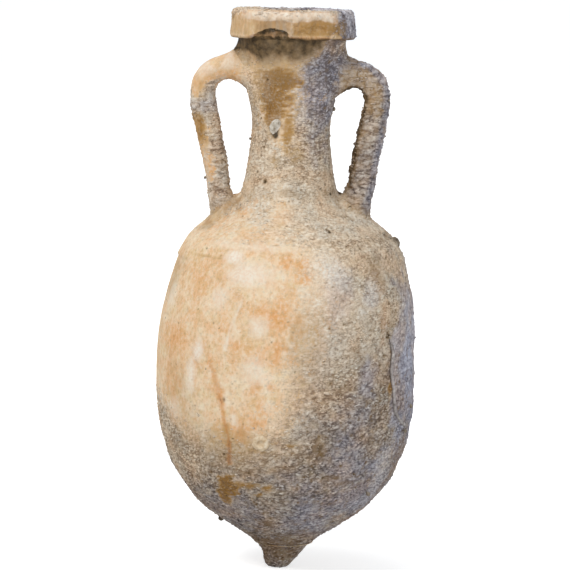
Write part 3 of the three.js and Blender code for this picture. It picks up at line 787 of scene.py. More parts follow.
def sea_worn_clay():
    """Clay under its stains, crust over both, and a brown layer of grime and painted shade over
    everything.
    """
    f = Finish("sea_worn_clay", 0.9)
    cloud, mottle, patch = f.grain(14, 5), f.grain(55, 5), f.grain(140, 4)
    speckle, fine, bloom = f.grain(300, 4), f.grain(900, 3), f.grain(210, 4, (1, 1, 0.7))
    drawn, turned = f.grain(60, 4, (1, 1, 0.16)), f.grain(190, 4, (0.08, 0.08, 1))
    scale, own = f.scales(215, (1, 1, 2.5), 0.9)
    names = ("crust", "tops", "ochre", "red", "brown")
    crust, tops, ochre, red, brown = (f.layer(name) for name in names)

    tone = 0.26 * mottle + 0.28 * patch + 0.15 * drawn + 0.07 * turned + 0.24 * cloud
    clay = f.ramp(tone, (0.41, CLAY_DEEP), (0.47, CLAY_WARM), (0.53, CLAY_PALE), (0.6, CLAY_CREAM))
    warm = f.span(f.layer("warm"), 0, 0.8) * f.span(tone, 0.42, 0.58, 1, 0.6)
    clay = f.mix(warm, clay, CLAY_ORANGE)
    clay = f.mix(f.span(speckle, 0.55, 0.72, 0, 0.34), clay, BROWN_LIGHT)
    clay = f.mix(f.span(fine, 0.5, 0.68, 0, 0.28), clay, LIME_PALE)
    clay = f.mix(f.dots(95, 0.09) * f.span(mottle, 0.4, 0.6), clay, BROWN_DARK)
    clay = f.mix(f.span(bloom, 0.52, 0.68, 0, 0.3), clay, LIME_PALE)
    clay = f.mix(f.span(bloom, 0.47, 0.33, 0, 0.2), clay, BROWN_LIGHT)
    blush = f.ramp(f.grain(60, 5), (0.38, BLUSH_RED), (0.5, TINT_NONE), (0.62, BLUSH_GREEN))
    clay = f.mix(1.0, clay, blush, "MULTIPLY")

    grained = 0.14 * own + 0.75 * tops + 0.35 * speckle + 0.45 * fine - f.span(scale, 0, 1, 0.5, 0.34)
    crust_look = f.ramp(grained, (0.16, CRUST_DARK), (0.48, CRUST_MID), (0.84, CRUST_LIGHT))
    bleached = f.ramp(grained, (0.16, BLEACHED_DARK), (0.46, BLEACHED_MID), (0.82, BLEACHED_LIGHT))
    crust_look = f.mix(f.layer("pale"), crust_look, bleached)
    crust_look = f.mix(f.span(mottle, 0.5, 0.68, 0, 0.35), crust_look, clay)
    grey_look = f.ramp(grained, (0.1, GREY_DARK), (0.41, GREY_MID), (0.78, GREY_LIGHT))
    grey = f.layer("grey") * f.span(cloud, 0.35, 0.55, 0.76, 1)
    hues = f.ramp(f.grain(26, 3), (0.36, TINT_PINK), (0.5, TINT_NONE), (0.64, TINT_BLUE))
    over = f.mix(1.0, f.mix(grey, crust_look, grey_look), hues, "MULTIPLY")
    cover = crust + 0.9 * speckle + 0.7 * patch + 0.6 * mottle
    skin = f.mix(f.span(cover, 1.24, 1.66), clay, over)

    ochre_look = 0.7 * (ochre + 0.5 * speckle)
    ochre_look = f.ramp(ochre_look, (0.35, OCHRE_LIGHT), (0.75, OCHRE_DEEP), (0.98, OCHRE_DARK))
    ochre_hold = f.span(ochre + 0.5 * patch, 0.26, 0.92, 0, 0.97) * f.span(speckle, 0.42, 0.66, 1, 0.68)
    skin = f.mix(ochre_hold, skin, ochre_look)
    rust = f.ramp(red + f.span(speckle, 0.3, 0.7, -0.2, 0.2), (0.55, RED_LIGHT), (1.0, RED_DARK))
    skin = f.mix(f.span(red, 0, 0.9, 0, 0.95), skin, rust)
    # The brown layer is dirt, and also painted shade under the collar, in the crack and on the handles'
    # inner edges.
    deep = brown * brown
    dirt_and_shade = f.span(patch, 0.3, 0.7, 0.52, 0.84) - 0.6 * deep
    dirt_and_shade = f.ramp(dirt_and_shade, (0.0, BROWN_DARK), (0.55, BROWN_LIGHT))
    on_grains = f.span(grained, 0.1, 0.9, 1, f.span(deep, 0.5, 0.9, 0.72, 0.94))
    skin = f.mix(brown * on_grains, skin, dirt_and_shade)
    on_tops = f.span(grained, 0.25, 0.6, 0.35, 0.9)
    on_tops = on_tops.combine("MAXIMUM", f.span(crust, 0.1, 0.5, 0.85, 0))
    lime = f.layer("lime") * on_tops * f.span(brown, 0.2, 0.9, 1, 0.2)
    skin = f.mix(lime, skin, f.ramp(speckle, (0.4, LIME_PINK), (0.6, LIME_PALE)))
    f.shade("Base Color", skin)
    f.shade("Roughness", f.span(crust + speckle, 0.3, 1.3, 0.72, 0.97))
    height = fine * f.span(crust, 0, 1, 0.12, 0.4) + speckle * f.span(crust, 0, 1, 0.4, 1.1)
    f.bump(height + scale * f.span(crust, 0.2, 0.9, 0, 0.8), 0.0012, 0.8)
    return f.material


CLAY = sea_worn_clay()
print("clay material has", len(CLAY.node_tree.nodes), "nodes")

# %% [markdown]
# ## From arrays to a piece
# A skin is a grid of points: rows along a profile, columns round the axis or round a handle.
# Columns wrap, rows either close on themselves or end in a fan of triangles, so every skin is a
# closed body. Its volume is worked out from the faces: a positive one says that they face out.

# %% Mesh helpers
LAYERS = ("crust", "tops", "pale", "warm", "ochre", "lime", "grey", "brown", "red")


def turn_round(profile, columns):
    """Carries (radius, height) points round the axis: (r sin t, -r cos t, z) at every turn t."""
    t, r, z = turns(columns), profile[:, :1], profile[:, 1:2]
    return np.stack([r * np.sin(t), -r * np.cos(t), z + 0 * t], axis=-1)


def grid_faces(rows, columns, closed):
    """Quads between neighbouring rows and columns. Columns wrap; rows too where closed."""
    i, j = np.meshgrid(np.arange(rows if closed else rows - 1), np.arange(columns), indexing="ij")
    n, k = (i + 1) % rows, (j + 1) % columns
    corners = [i * columns + j, i * columns + k, n * columns + k, n * columns + j]
    return np.stack(corners, axis=-1).reshape(-1, 4)


def fans(rows, columns):
    """Triangles from a point before the first row and a point after the last one."""
    j = np.arange(columns)
    k = (j + 1) % columns
    first, last = rows * columns + 0 * j, rows * columns + 1 + 0 * j
    end = (rows - 1) * columns
    return np.concatenate([np.stack([first, k, j], -1), np.stack([last, end + j, end + k], -1)])


def capped(rows, columns):
    """Faces of a grid whose columns wrap and whose ends are closed by fans."""
    return [grid_faces(rows, columns, False), fans(rows, columns)]


def leaned(points):
    """Points in the jar's frame: each height is shifted sideways as the middle line is."""
    shift = looked_up(points[:, 2], lean_line)
    return points + np.stack([shift, 0 * shift, 0 * shift], axis=-1)


def piece(name, points, faces, layers, material, slot, *nodes):
    """One mesh object from whole arrays: points in mm, lists of quads and triangles, and layers
    with one number for each point. It rides on the jar's body and stands for the nodes."""
    mesh = bpy.data.meshes.new(name)
    points = leaned(points)
    corners = np.concatenate([part.ravel() for part in faces])
    sizes = np.concatenate([np.full(len(part), part.shape[1]) for part in faces])
    mesh.vertices.add(len(points))
    mesh.vertices.foreach_set("co", (points * MM).astype(np.float32).ravel())
    mesh.loops.add(len(corners))
    mesh.loops.foreach_set("vertex_index", corners.astype(np.int32))
    mesh.polygons.add(len(sizes))
    starts = np.concatenate([[0], np.cumsum(sizes)[:-1]])
    mesh.polygons.foreach_set("loop_start", starts.astype(np.int32))
    mesh.polygons.foreach_set("use_smooth", np.ones(len(sizes), bool))
    for layer_name, layer in layers.items():
        attribute = mesh.attributes.new(layer_name, "FLOAT", "POINT")
        attribute.data.foreach_set("value", np.ravel(layer).astype(np.float32))
    mesh.update(calc_edges=True)
    mesh.materials.append(material)
    made = bpy.data.objects.new(name, mesh)
    bpy.context.scene.collection.objects.link(made)
    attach(made, "root")
    if nodes:
        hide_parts(*nodes)
    triangles = [part[:, [0, i, i + 1]] for part in faces for i in range(1, part.shape[1] - 1)]
    a, b, c = (points[np.concatenate(triangles)[:, i]] for i in range(3))
    volume = np.einsum("ij,ij->i", a, np.cross(b, c)).sum() / 6000
    print(f"{name}: {len(a)} triangles, {volume:.1f} ml" + ("" if volume > 0 else " INSIDE OUT"))
    return made


# %% [markdown]
# ## The thrown sections of wall
# Toe, lower wall, upper wall, shoulder and neck were thrown apart and luted with lapped joints,
# so that the wet seams held. Each skin below goes up the outside in fine rows, over the sloping
# face of the joint, and down the inside in coarse rows, because nobody sees the clay under the
# pitch. Two sections that meet share their last row, so that the seam closes.

# %% Wall rows
COLUMNS = 576
ROW_STEP = 2.0
LAP = 14
GAP = 0.45
HAIR = 0.06
THICKNESS = [(38, 17), (110, 13.5), (290, 11.5), (560, 11), (680, 10.5), (HEIGHT, 14.5)]
FLOOR = [(0, 63), (24, 64.5), (44, 70)]

inset = outline - outward * looked_up(outline[:, 1], THICKNESS)[:, None]
inner_line = spline(FLOOR + list(map(tuple, even(inset[inset[:, 1] > 80], 20))), 4000)


def outer_rows(low, high, step=ROW_STEP):
    """Rows of the outside between two heights: radius, height and outward direction. A hair
    outside each end lies one row more, where the skin turns into the joint."""
    start, end = np.interp([low, high], outline[:, 1], outline_run)
    start, end = max(start, HAIR), min(end, outline_run[-1] - HAIR)
    place = np.linspace(start, end, round((end - start) / step) + 1)
    place = np.concatenate([[start - HAIR], place, [end + HAIR]])
    return np.stack([np.interp(place, outline_run, c) for c in (*outline.T, *outward.T)], axis=1)


def inner_height(joint):
    """Height at which a joint that starts outside comes out inside: one lap further up."""
    up = np.interp(joint, outline[:, 1], outline_run) + LAP
    return np.interp(up, outline_run, inset[:, 1])


def inner_rows(low, high, step=14):
    """Rows of the inside from a high place down to a low one."""
    keep = inner_line[(inner_line[:, 1] > low) & (inner_line[:, 1] < high)]
    return even(keep, step)[::-1]


def wall(name, rows, rest, columns, slot, node, poles=None):
    """A thrown section: rows of the outside moved out by the weather, then the rest of its
    profile as it is."""
    grid = turn_round(rows[:, :2], columns)
    out = turn_round(rows[:, 2:], columns)
    relief, layers = weather(grid)
    lift = web(grid, out)
    skin = grid + out * (relief * (1 - 0.5 * ease(lift, 0, 4)) + lift)[..., None]
    hidden = turn_round(rest, columns)
    points = np.concatenate([skin.reshape(-1, 3), hidden.reshape(-1, 3)])
    count = len(rows) + len(rest)
    faces = capped(count, columns) if poles else [grid_faces(count, columns, True)]
    if poles:
        points = np.concatenate([points, [(0, 0, poles[0]), (0, 0, poles[1])]])
    extra = len(points) - rows.shape[0] * columns
    kept = {key: np.concatenate([layers[key].ravel(), np.zeros(extra)]) for key in LAYERS}
    piece(name, points, faces, kept, CLAY, slot, node)
    return {"skin": skin, **layers}


print("outside rows of the lower wall:", len(outer_rows(TOE_JOINT, BELLY_JOINT)))

# %% [markdown]
# ## The sections, one by one
# Toe and lower wall end in a point inside, the others are rings. The neck goes on up inside the
# collar, which sits round it, to a lip at the mouth.

# %% The five thrown sections
skins = {}
toe_rows, rest = outer_rows(0, TOE_JOINT, 1.3), np.array([(42.5, 37.7), (20, 44.0)])
skins["toe"] = wall("toe_clay", toe_rows, rest, 192, "crusted_clay", "toe", (0, 49.5))

low_rows = outer_rows(TOE_JOINT, BELLY_JOINT)
rest = np.vstack([inner_rows(64, inner_height(BELLY_JOINT) - GAP), [(6, 63.1)]])
skins["lower_wall"] = wall(
    "lower_wall_clay", low_rows, rest, COLUMNS, "crusted_clay", "lower_wall", (50, 63)
)
for name, low, high, columns, step in (
    ("upper_wall", BELLY_JOINT, SHOULDER_JOINT, COLUMNS, ROW_STEP),
    ("shoulder", SHOULDER_JOINT, NECK_JOINT, COLUMNS, 1.5),
):
    rest = inner_rows(inner_height(low), inner_height(high) - GAP)
    skins[name] = wall(f"{name}_clay", outer_rows(low, high, step), rest, columns, "clay", name)
lip = np.array([(62, 774 - GAP)])
rest = np.vstack([lip, inner_rows(inner_height(NECK_JOINT), COLLAR_JOINT - 3)])
neck_rows = outer_rows(NECK_JOINT, COLLAR_JOINT, 1.4)
skins["neck"] = wall("neck_clay", neck_rows, rest, 288, "clay", "neck")

# %% [markdown]
# ## The collar
# The collar is a thick ring round the mouth, and the sea and the nets knocked pieces off it. It
# could be cut with solids, but a boolean leaves ragged faces on a fine mesh. Here every point
# that falls inside a chip is pushed back towards the middle of the ring's section until it lies
# on the chip's surface, so the broken face keeps the grid's even points.

# %% Collar section and chips
COLLAR_SIDE = [
    (86.5, COLLAR_JOINT), (88, 763.5), (87.6, 770), (86.4, 780), (85.6, 792), (83.5, 798),
    (80.5, HEIGHT),
]
COLLAR_LIP = [(66, HEIGHT), (63, 797), (62, 791), (62, 774)]
COLLAR_FOOT = (77.5, COLLAR_JOINT)
COLLAR_HEART = (74, 781)
CHIPS = [
    (-19, 757, 90, (32, 13, 20)), (9, 774, 97, (22, 14, 24)), (23, 777, 97, (24, 14, 22)),
    (44, 756, 90, (18, 13, 16)), (-34, 757, 91, (24, 12, 11)), (1, 757, 91, (22, 12, 9)),
    (118, 757, 91, (24, 12, 13)), (196, 800, 90, (30, 11, 9)), (258, 758, 92, (18, 12, 12)),
]
OCHRE_FACE = [(25, 777, 46, 19, 1.0), (8, 770, 20, 14, 0.9)]
FLUSHES = [(-15, 779, 30, 20, 0.9), (-2, 790, 70, 7, 0.4), (-34, 786, 12, 6, 0.5)]
DRIPS = [(-6, 780, 14, 20, 1.0), (-16, 782, 10, 18, 0.7)]


def chipped(place):
    """Pushes places out of the chips towards the ring's heart. In a chip's own half sizes the
    place is p and the heart h: the way p + s (h - p) leaves the unit sphere at the larger root
    of a s s + 2 b s + c = 0. Also gives how far each place went."""
    turn = np.arctan2(place[..., 0], -place[..., 1])
    reach, level = COLLAR_HEART
    heart = np.stack([reach * np.sin(turn), -reach * np.cos(turn), level + 0 * turn], axis=-1)
    worn = np.zeros(turn.shape)
    for degrees, height, reach, half in CHIPS:
        c, s = np.cos(np.radians(degrees)), np.sin(np.radians(degrees))
        turned = np.array([[c, -s, 0], [s, c, 0], [0, 0, 1]])
        uneven = 1 + 0.1 * noise(place, 9, 91) + 0.06 * noise(place, 4, 92)
        size = np.array(half) * uneven[..., None]
        p = ((place @ turned) - (0, -reach, height)) / size
        h = ((heart @ turned) - (0, -reach, height)) / size
        way = h - p
        a, b, c = (way * way).sum(-1), (way * p).sum(-1), (p * p).sum(-1) - 1
        root = np.sqrt(np.maximum(b * b - a * c, 0))
        step = np.clip(np.where(c < 0, (root - b) / np.maximum(a, 1e-9), 0), 0, 0.9)
        place = place + step[..., None] * (heart - place)
        worn = np.maximum(worn, step)
    return place, worn


def collar():
    """The chipped ring with its crust, its broken faces, the stains on its front and painted shade on
    its underside.
    """
    side, lip = spline(COLLAR_SIDE, 200), spline(COLLAR_LIP, 120)
    profile = even(np.vstack([[COLLAR_FOOT], side, lip, [COLLAR_FOOT]]), 1.05)[:-1]
    grid = turn_round(profile, COLUMNS)
    grid, worn = chipped(grid)
    turn, radius, height = unrolled(grid)
    broad, ragged = rough(grid, 30, 101), rough(grid, 8, 111)
    right = ease(turn - 0.45 * (height - COLLAR_JOINT - 5), 29, 40) * ease(turn, 178, 150)
    back = ease(np.abs(turn), 120, 150)
    top = ease(height + 7 * broad + 3 * ragged, 786, 797)
    crust = np.clip(0.9 * np.maximum(right, 0.7 * back) + 0.8 * top + 0.4 * broad, 0, 1)
    grains = grain_tops(grid, 4.4, 121)
    broken = ease(worn, 0.02, 0.12)
    relief = crust * (0.5 + 0.5 * broad + 1.5 * grains)
    relief = relief + broken * (0.9 * noise(grid, 3.4, 131) + 0.5 * ragged)
    seen = np.where(height > 775, 1, ease(radius, 63, 64) * ease(height, 761, 764))
    relief = (relief + 0.5 * noise(grid, 40, 141) + 0.25 * ragged) * seen
    out = grid_out(np.concatenate([grid[-1:], grid, grid[:1]]))[1:-1]
    skin = grid + out * relief[..., None]

    notch = broken * band(turn, -60, -50, -6, 2)
    spall = broken * band(turn, -6, 2, 36, 40)
    face = band(height, 762, 768, 786, 795) * ease(radius, 80, 83)
    clean_face = face * (1 - right)
    lower_edge = ease(height, 766, 762.5) * ease(np.abs(turn + 2), 46, 38)
    streaks = noise(grid * (1, 1, 0.15), 5, 145) + 0.6 * noise(grid * (1, 1, 0.1), 2.4, 146)
    rim = ease(height + 5 * noise(grid, 34, 103) + ragged, 785, 788) * ease(height, 800.4, 797)
    rim = rim * ease(radius, 80, 83) * band(turn, -64, -40, 36, 48)
    under_rim = 4 * rim * (1 - rim) * ease(ragged, -0.3, 0.2)
    ochre_face = marks(grid, OCHRE_FACE, 0.25 * ragged) * face
    flush = marks(grid, FLUSHES, 0.4 * ragged)
    drips = ease(streaks, -0.1, 0.4) * marks(grid, DRIPS, 0.4 * ragged)
    layers = clipped({
        "crust": crust * (1 - 0.8 * broken) * (1 - rim),
        "tops": 0.45 + 0.6 * (grains - 0.3) + 0.5 * ragged + 0.2 * top,
        "ochre": np.maximum(ochre_face * (0.8 + 0.2 * ragged), (0.24 + 0.12 * streaks) * clean_face),
        "warm": 0.05 * clean_face,
        "lime": np.maximum(rim * (0.72 + 0.12 * ragged + 0.2 * streaks), 0.7 * drips)
        + 0.5 * notch * ease(ragged, 0, 0.5),
        "grey": 0.9 * right + 0.5 * back,
        "pale": 0.9 - 0.7 * right,
        # Brown below 765 mm is painted shade on the collar's underside, with some stain.
        "brown": 0.5 * notch * ease(ragged, 0.45, -0.2) + 0.4 * flush + 0.8 * ease(height, 765, 760)
        + (0.2 + 0.2 * ease(streaks, -0.4, 0.5)) * clean_face
        + 0.3 * lower_edge + 0.2 * spall * ease(ragged, 0.1, 0.5),
        "red": np.maximum.reduce([(0.75 + 0.3 * ragged) * notch, 0.9 * lower_edge, 0.35 * flush])
        + 0.5 * under_rim,
        "grit": crust * (1 - broken) * ease(radius, 66, 70) * ease(height, 763, 766),
    })
    kept = {key: layers[key] for key in LAYERS}
    faces = [grid_faces(len(profile), COLUMNS, True)]
    piece("rim_collar_clay", skin.reshape(-1, 3), faces, kept, CLAY, "clay", "rim_collar")
    return {"skin": skin, **layers}


skins["collar"] = collar()

# %% [markdown]
# ## The handles
# A handle is a ring carried along its stations. Its ends are pressed into the wall: points that
# would lie deep in the wall are moved back to just under its skin, so that nothing pokes
# through inside. The left one is half clean, the right one grew a wrinkled crust all over.

# %% Handles
BURIED = 3.0
HANDLE_SIDES = 116
PALE_BAND = 662


def handle(name, side, stations, node, slot, clean):
    """One handle. clean(height, outer) says where it has no crust: outer is 1 on its outer
    edge and -1 on its inner edge."""
    left, right = side < 0, side > 0
    rings = handle_rings(side, stations, 1.1, HANDLE_SIDES)
    out = grid_out(rings)
    outer = np.broadcast_to(np.cos(turns(HANDLE_SIDES)), rings.shape[:2])
    height = rings[..., 2]
    broad, ragged = rough(rings, 34, 151 + side), rough(rings, 8, 161 + side)
    bare = clean(height + 10 * broad + 6 * ragged, outer + 0.4 * ragged + 0.3 * broad)
    crust = np.clip(1 - bare, 0, 1)
    grains = grain_tops(rings * (1, 1, 1.6), 4.6, 171)
    folds = np.abs(noise(rings * (0.5, 0.5, 1.6), 5.6, 181)) ** 0.6
    creases = np.abs(noise(rings * (0.8, 0.8, 1.6), 3.2, 182)) ** 0.6
    lump_dot, lump_own = cells(rings, 15, 183)
    inner_lumps = right * ease(outer, -0.3, -0.8) * np.clip(1 - lump_dot / 0.6, 0, 1) * lump_own
    inner_lumps = inner_lumps * ease(height, 662, 640)
    gap = above_wall(rings.reshape(-1, 3))[0].reshape(height.shape)
    relief = crust * (2.8 * folds + 1.2 * creases + 0.8 * grains - 1.2 + 0.5 * broad)
    relief = relief + 5 * inner_lumps
    relief = (relief + 0.4 * broad) * ease(gap, 1, 12)
    points = (rings + out * relief[..., None]).reshape(-1, 3)
    under, way = above_wall(points)
    points = points + way * np.maximum(-BURIED - under, 0)[:, None]
    skin = points.reshape(rings.shape)

    patch = left * ease(outer, -0.1, 0.5) * band(height, 596, 622, 646, 662)
    inner_patch = left * band(outer, -0.3, 0.1, 0.2, 0.5) * ease(height, 670, 690)
    clouds = ease(broad, 0, 0.5)
    # Painted shade: each handle's inner edge, which the neck keeps from the key lamp, is darker, most
    # of all on the right handle over its dark crust and lumps; the lower ends are darker too.
    dirt_and_shade = (0.06 + 0.84 * right) * ease(outer, -0.5, -0.9) + 0.3 * ease(height, 545, 510)
    dirt_and_shade = dirt_and_shade + 0.5 * inner_lumps + 0.06 * left + (0.15 + 0.1 * right) * ease(ragged, 0.1, 0.6)
    layers = {
        "crust": crust,
        "tops": 0.8 * folds + 0.45 * creases + 0.3 * (grains - 0.3) + 0.2 * ragged - 0.05 + 0.12 * left,
        "ochre": np.maximum(
            patch * (0.8 + 0.35 * ragged), (0.35 - 0.25 * left) * clouds + 0.3 * inner_patch
        ),
        "lime": 0.6 * left * ease(height, 695, 715) * ease(broad, -0.4, 0.2) * ease(outer, -0.2, 0.2),
        # The right handle's outer edge is greyer and less pale: grey crust, with painted shade on the
        # side away from the key lamp.
        "grey": 0.1 + (0.55 * ease(outer, 0.25, 0.8) + 0.25 * clouds) * right
        + 0.3 * left * ease(np.abs(height - PALE_BAND), 14, 4),
        "pale": 0.85 + 0.4 * broad - right * (0.35 + 0.5 * ease(outer, 0.3, 0.9)),
        "brown": np.clip(dirt_and_shade, 0, 0.95),
        "warm": 0.2 + 0.3 * broad + 0.2 * left * ease(height, 640, 560),
        "red": 0.5 * left * ease(height, 520, 505) * ease(ragged, 0.1, 0.6),
        "grit": crust * 0.7,
    }
    near = ease(gap + 4 * ragged, 20, 4)
    on_wall = weather(rings)[1]
    layers = clipped({key: layer + near * (on_wall[key] - layer) for key, layer in layers.items()})
    ends = np.stack([skin[0].mean(0), skin[-1].mean(0)])
    all_points = np.concatenate([points, ends])
    kept = {key: np.concatenate([layers[key].ravel(), [0, 0]]) for key in LAYERS}
    piece(name, all_points, capped(len(rings), HANDLE_SIDES), kept, CLAY, slot, node)
    return {"skin": skin, **layers}


def left_clean(height, outer):
    """Bare on its top and on its outer edge, but for a band of crust half way up."""
    beside_band = ease(np.abs(height - PALE_BAND), 2, 24)
    bare_top = ease(height, 676, 704)
    bare_edge = beside_band * ease(outer, -0.15, 0.45) * ease(height, 530, 560)
    return (bare_top + bare_edge + 0.45 * ease(height, 560, 535)) * (0.72 + 0.14 * bare_top)


def right_clean(height, outer):
    """Crusted all over, and thinly at its very top."""
    return 0.3 * ease(height, 715, 728)


HANDLES = (
    ("left_handle", -1, LEFT_HANDLE, "clay", left_clean),
    ("right_handle", 1, RIGHT_HANDLE, "crusted_clay", right_clean),
)
for node, side, stations, slot, clean in HANDLES:
    skins[node] = handle(f"{node}_clay", side, stations, node, slot, clean)

# %% [markdown]
# ## Crust grains
# The crust is thousands of lime grains a few millimetres long, lying mostly level. Each is a
# twenty-faced lump, stretched, turned in the wall's plane and half sunk. They are strewn by
# chance: a place is drawn from the skin's faces in proportion to area and grit, and the grain
# takes the colour layers of the place it lies on.

# %% Strewn grains
GOLD = (1 + 5**0.5) / 2
LUMP = np.array(
    [(-1, GOLD, 0), (1, GOLD, 0), (-1, -GOLD, 0), (1, -GOLD, 0), (0, -1, GOLD), (0, 1, GOLD),
     (0, -1, -GOLD), (0, 1, -GOLD), (GOLD, 0, -1), (GOLD, 0, 1), (-GOLD, 0, -1), (-GOLD, 0, 1)]
) / np.hypot(1, GOLD)
LUMP_FACES = np.array(
    [(0, 11, 5), (0, 5, 1), (0, 1, 7), (0, 7, 10), (0, 10, 11), (1, 5, 9), (5, 11, 4), (11, 10, 2),
     (10, 7, 6), (7, 1, 8), (3, 9, 4), (3, 4, 2), (3, 2, 6), (3, 6, 8), (3, 8, 9), (4, 9, 5),
     (2, 4, 11), (6, 2, 10), (8, 6, 7), (9, 8, 1)]
)


def strewn(skin, weight, per_area, seed):
    """Random places on a skin: index of the grid face, the place, the way out and the level
    direction. A face is drawn in proportion to its area times weight."""
    rng = np.random.default_rng(seed)
    grid = skin["skin"]
    a, b = grid[:-1], np.roll(grid, -1, axis=1)[:-1]
    c, d = np.roll(grid, -1, axis=1)[1:], grid[1:]
    out = np.cross(c - a, d - b).reshape(-1, 3) / 2
    area = np.linalg.norm(out, axis=-1)
    share = area * weight[:-1].ravel()
    count = int(share.sum() * per_area)
    pick = rng.choice(len(share), count, p=share / share.sum())
    u, v = rng.uniform(0, 1, (2, count, 1))
    a, b, c, d = (corner.reshape(-1, 3)[pick] for corner in (a, b, c, d))
    place = a * (1 - u) * (1 - v) + b * u * (1 - v) + c * u * v + d * (1 - u) * v
    out = out[pick] / area[pick, None]
    level = np.cross((0.0, 0.0, 1.0), out) + (1e-6, 0, 0)
    level /= np.linalg.norm(level, axis=-1, keepdims=True)
    return pick, place, out, level


def grains(name, source, per_area, size, seed, slot):
    """One piece of many lumps: half length, half breadth and half height drawn about size."""
    skin = skins[source]
    rows = noise(skin["skin"] * (1, 1, 2.4), 7.5, seed)
    weight = skin["grit"] * ease(rows, -0.55, 0.35)
    pick, place, out, level = strewn(skin, weight, per_area, seed)
    rng = np.random.default_rng(seed + 1)
    angle = rng.normal(0, 0.32, (len(pick), 1))
    up = np.cross(out, level)
    first = level * np.cos(angle) + up * np.sin(angle)
    second = up * np.cos(angle) - level * np.sin(angle)
    bulk = size * rng.lognormal(0, 0.3, (len(pick), 1))
    half = bulk * rng.uniform((1.1, 0.5, 0.35), (2.0, 0.8, 0.6), (len(pick), 3))
    knobs = LUMP * rng.uniform(0.82, 1.18, (len(pick), 12, 1))
    points = (place + out * half[:, 2:] * 0.25)[:, None]
    for axis, way in enumerate((first, second, out)):
        points = points + knobs[..., axis, None] * (way * half[:, axis, None])[:, None]
    faces = LUMP_FACES + 12 * np.arange(len(pick))[:, None, None]
    kept = {key: np.repeat(skin[key][:-1].ravel()[pick], 12) for key in LAYERS}
    # Painted light: each grain is a little lighter on its outer side and darker where it meets the
    # wall.
    tone = rng.triangular(0.25, 0.55, 1.05, len(pick))[:, None] + 0.12 * LUMP[:, 2]
    kept["tops"] = np.clip(tone.ravel() - 0.15 * kept["grey"], 0, 1)
    kept["crust"] = np.maximum(kept["crust"], 0.8)
    kept["ochre"] = kept["ochre"] * 0.7
    kept["brown"] = kept["brown"] * 0.5
    piece(name, points.reshape(-1, 3), [faces.reshape(-1, 3)], kept, CLAY, slot)


GRAINS = (
    ("lower_wall", 0.07, 1.3, 201), ("upper_wall", 0.07, 1.25, 211), ("shoulder", 0.07, 1.15, 221),
    ("neck", 0.08, 1.1, 231), ("collar", 0.06, 1.2, 241), ("left_handle", 0.06, 1.2, 251),
    ("right_handle", 0.06, 1.3, 261), ("toe", 0.05, 1.1, 271),
)
for source, per_area, size, seed in GRAINS:
    grains(f"{source}_grains", source, per_area, size, seed, "crusted_clay")

# %% [markdown]
# ## Pitch
# Jars that carried wine were lined with pitch, poured in hot and rolled round. It is a thin
# brown-black coat that follows the wall and shows only through the mouth. The coat is two skins,
# one half a millimetre off the clay and one on the wine's side with runs in it.

# %% Pitch coat
PITCH_GAP, PITCH_THICK = 0.5, 1.8


def pitch_finish():
    f = Finish("pitch", 0.5)
    runs, fine = f.grain(30, 5, (1, 1, 0.25)), f.grain(400, 3)
    black, brown, light = linear(24, 18, 13), linear(46, 34, 25), linear(84, 66, 50)
    look = f.ramp(runs, (0.3, black), (0.55, brown), (0.75, light))
    f.shade("Base Color", f.mix(f.span(fine, 0.5, 0.8, 0, 0.4), look, linear(120, 100, 78)))
    f.shade("Roughness", f.span(runs, 0.3, 0.7, 0.35, 0.7))
    f.bump(runs + 0.2 * fine, 0.002, 0.6)
    return f.material


def pitch_coat():
    rise = np.gradient(inner_line, along(inner_line), axis=0)
    out = np.stack([rise[:, 1], -rise[:, 0]], axis=1)
    keep = inner_line[:, 1] < COLLAR_JOINT - 3
    back = even((inner_line - out * PITCH_GAP)[keep], 4)
    front = even((inner_line - out * (PITCH_GAP + PITCH_THICK))[keep], 4)[::-1]
    back, front = back[back[:, 0] > 3], front[front[:, 0] > 3]
    grid = turn_round(np.vstack([back, front]), 144)
    runs = np.zeros(grid.shape[:2])
    runs[len(back) + 1:] = 0.5 * noise(grid * (1, 1, 0.25), 14, 301)[len(back) + 1:]
    toward = grid * (1, 1, 0) / np.maximum(np.hypot(grid[..., 0], grid[..., 1]), 1)[..., None]
    skin = (grid - toward * runs[..., None]).reshape(-1, 3)
    low = inner_line[0, 1]
    middle = [(0, 0, low + PITCH_GAP), (0, 0, low + PITCH_GAP + PITCH_THICK)]
    points, faces = np.concatenate([skin, middle]), capped(*grid.shape[:2])
    piece("pitch_coat", points, faces, {}, pitch_finish(), "pitch", "pitch_lining")


pitch_coat()

# %% [markdown]
# ## Shells, worm tube and stone
# A few larger things grew or stuck on the wall. They share one way of making a finish: three
# tones of one lime or stone in soft clouds, with fine darker grain over them.

# %% Growth finishes
def shell_finish(name, *colours):
    f = Finish(name, 0.85)
    cloud, fine = f.grain(160, 5), f.grain(1200, 3)
    look = f.ramp(cloud, *zip((0.3, 0.5, 0.7), (linear(*colour) for colour in colours)))
    f.shade("Base Color", f.mix(f.span(fine, 0.55, 0.75, 0, 0.5), look, linear(96, 82, 66)))
    f.shade("Roughness", f.span(fine, 0.2, 0.8, 0.75, 0.95))
    f.bump(fine, 0.0008, 0.6)
    return f.material


SHELL = shell_finish("shell_lime", (150, 136, 116), (214, 206, 192), (240, 235, 226))
SCAR = shell_finish("scar_lime", (190, 160, 122), (222, 200, 168), (238, 224, 200))
CASING = shell_finish("casing_lime", (92, 80, 68), (150, 136, 118), (196, 184, 166))
STONE = shell_finish("dark_stone", (50, 42, 34), (88, 76, 62), (130, 116, 96))
TUBE = shell_finish("tube_lime", (112, 104, 100), (168, 160, 156), (206, 200, 196))


print("growth finishes:", *(finish.name for finish in (SHELL, SCAR, CASING, STONE, TUBE)))

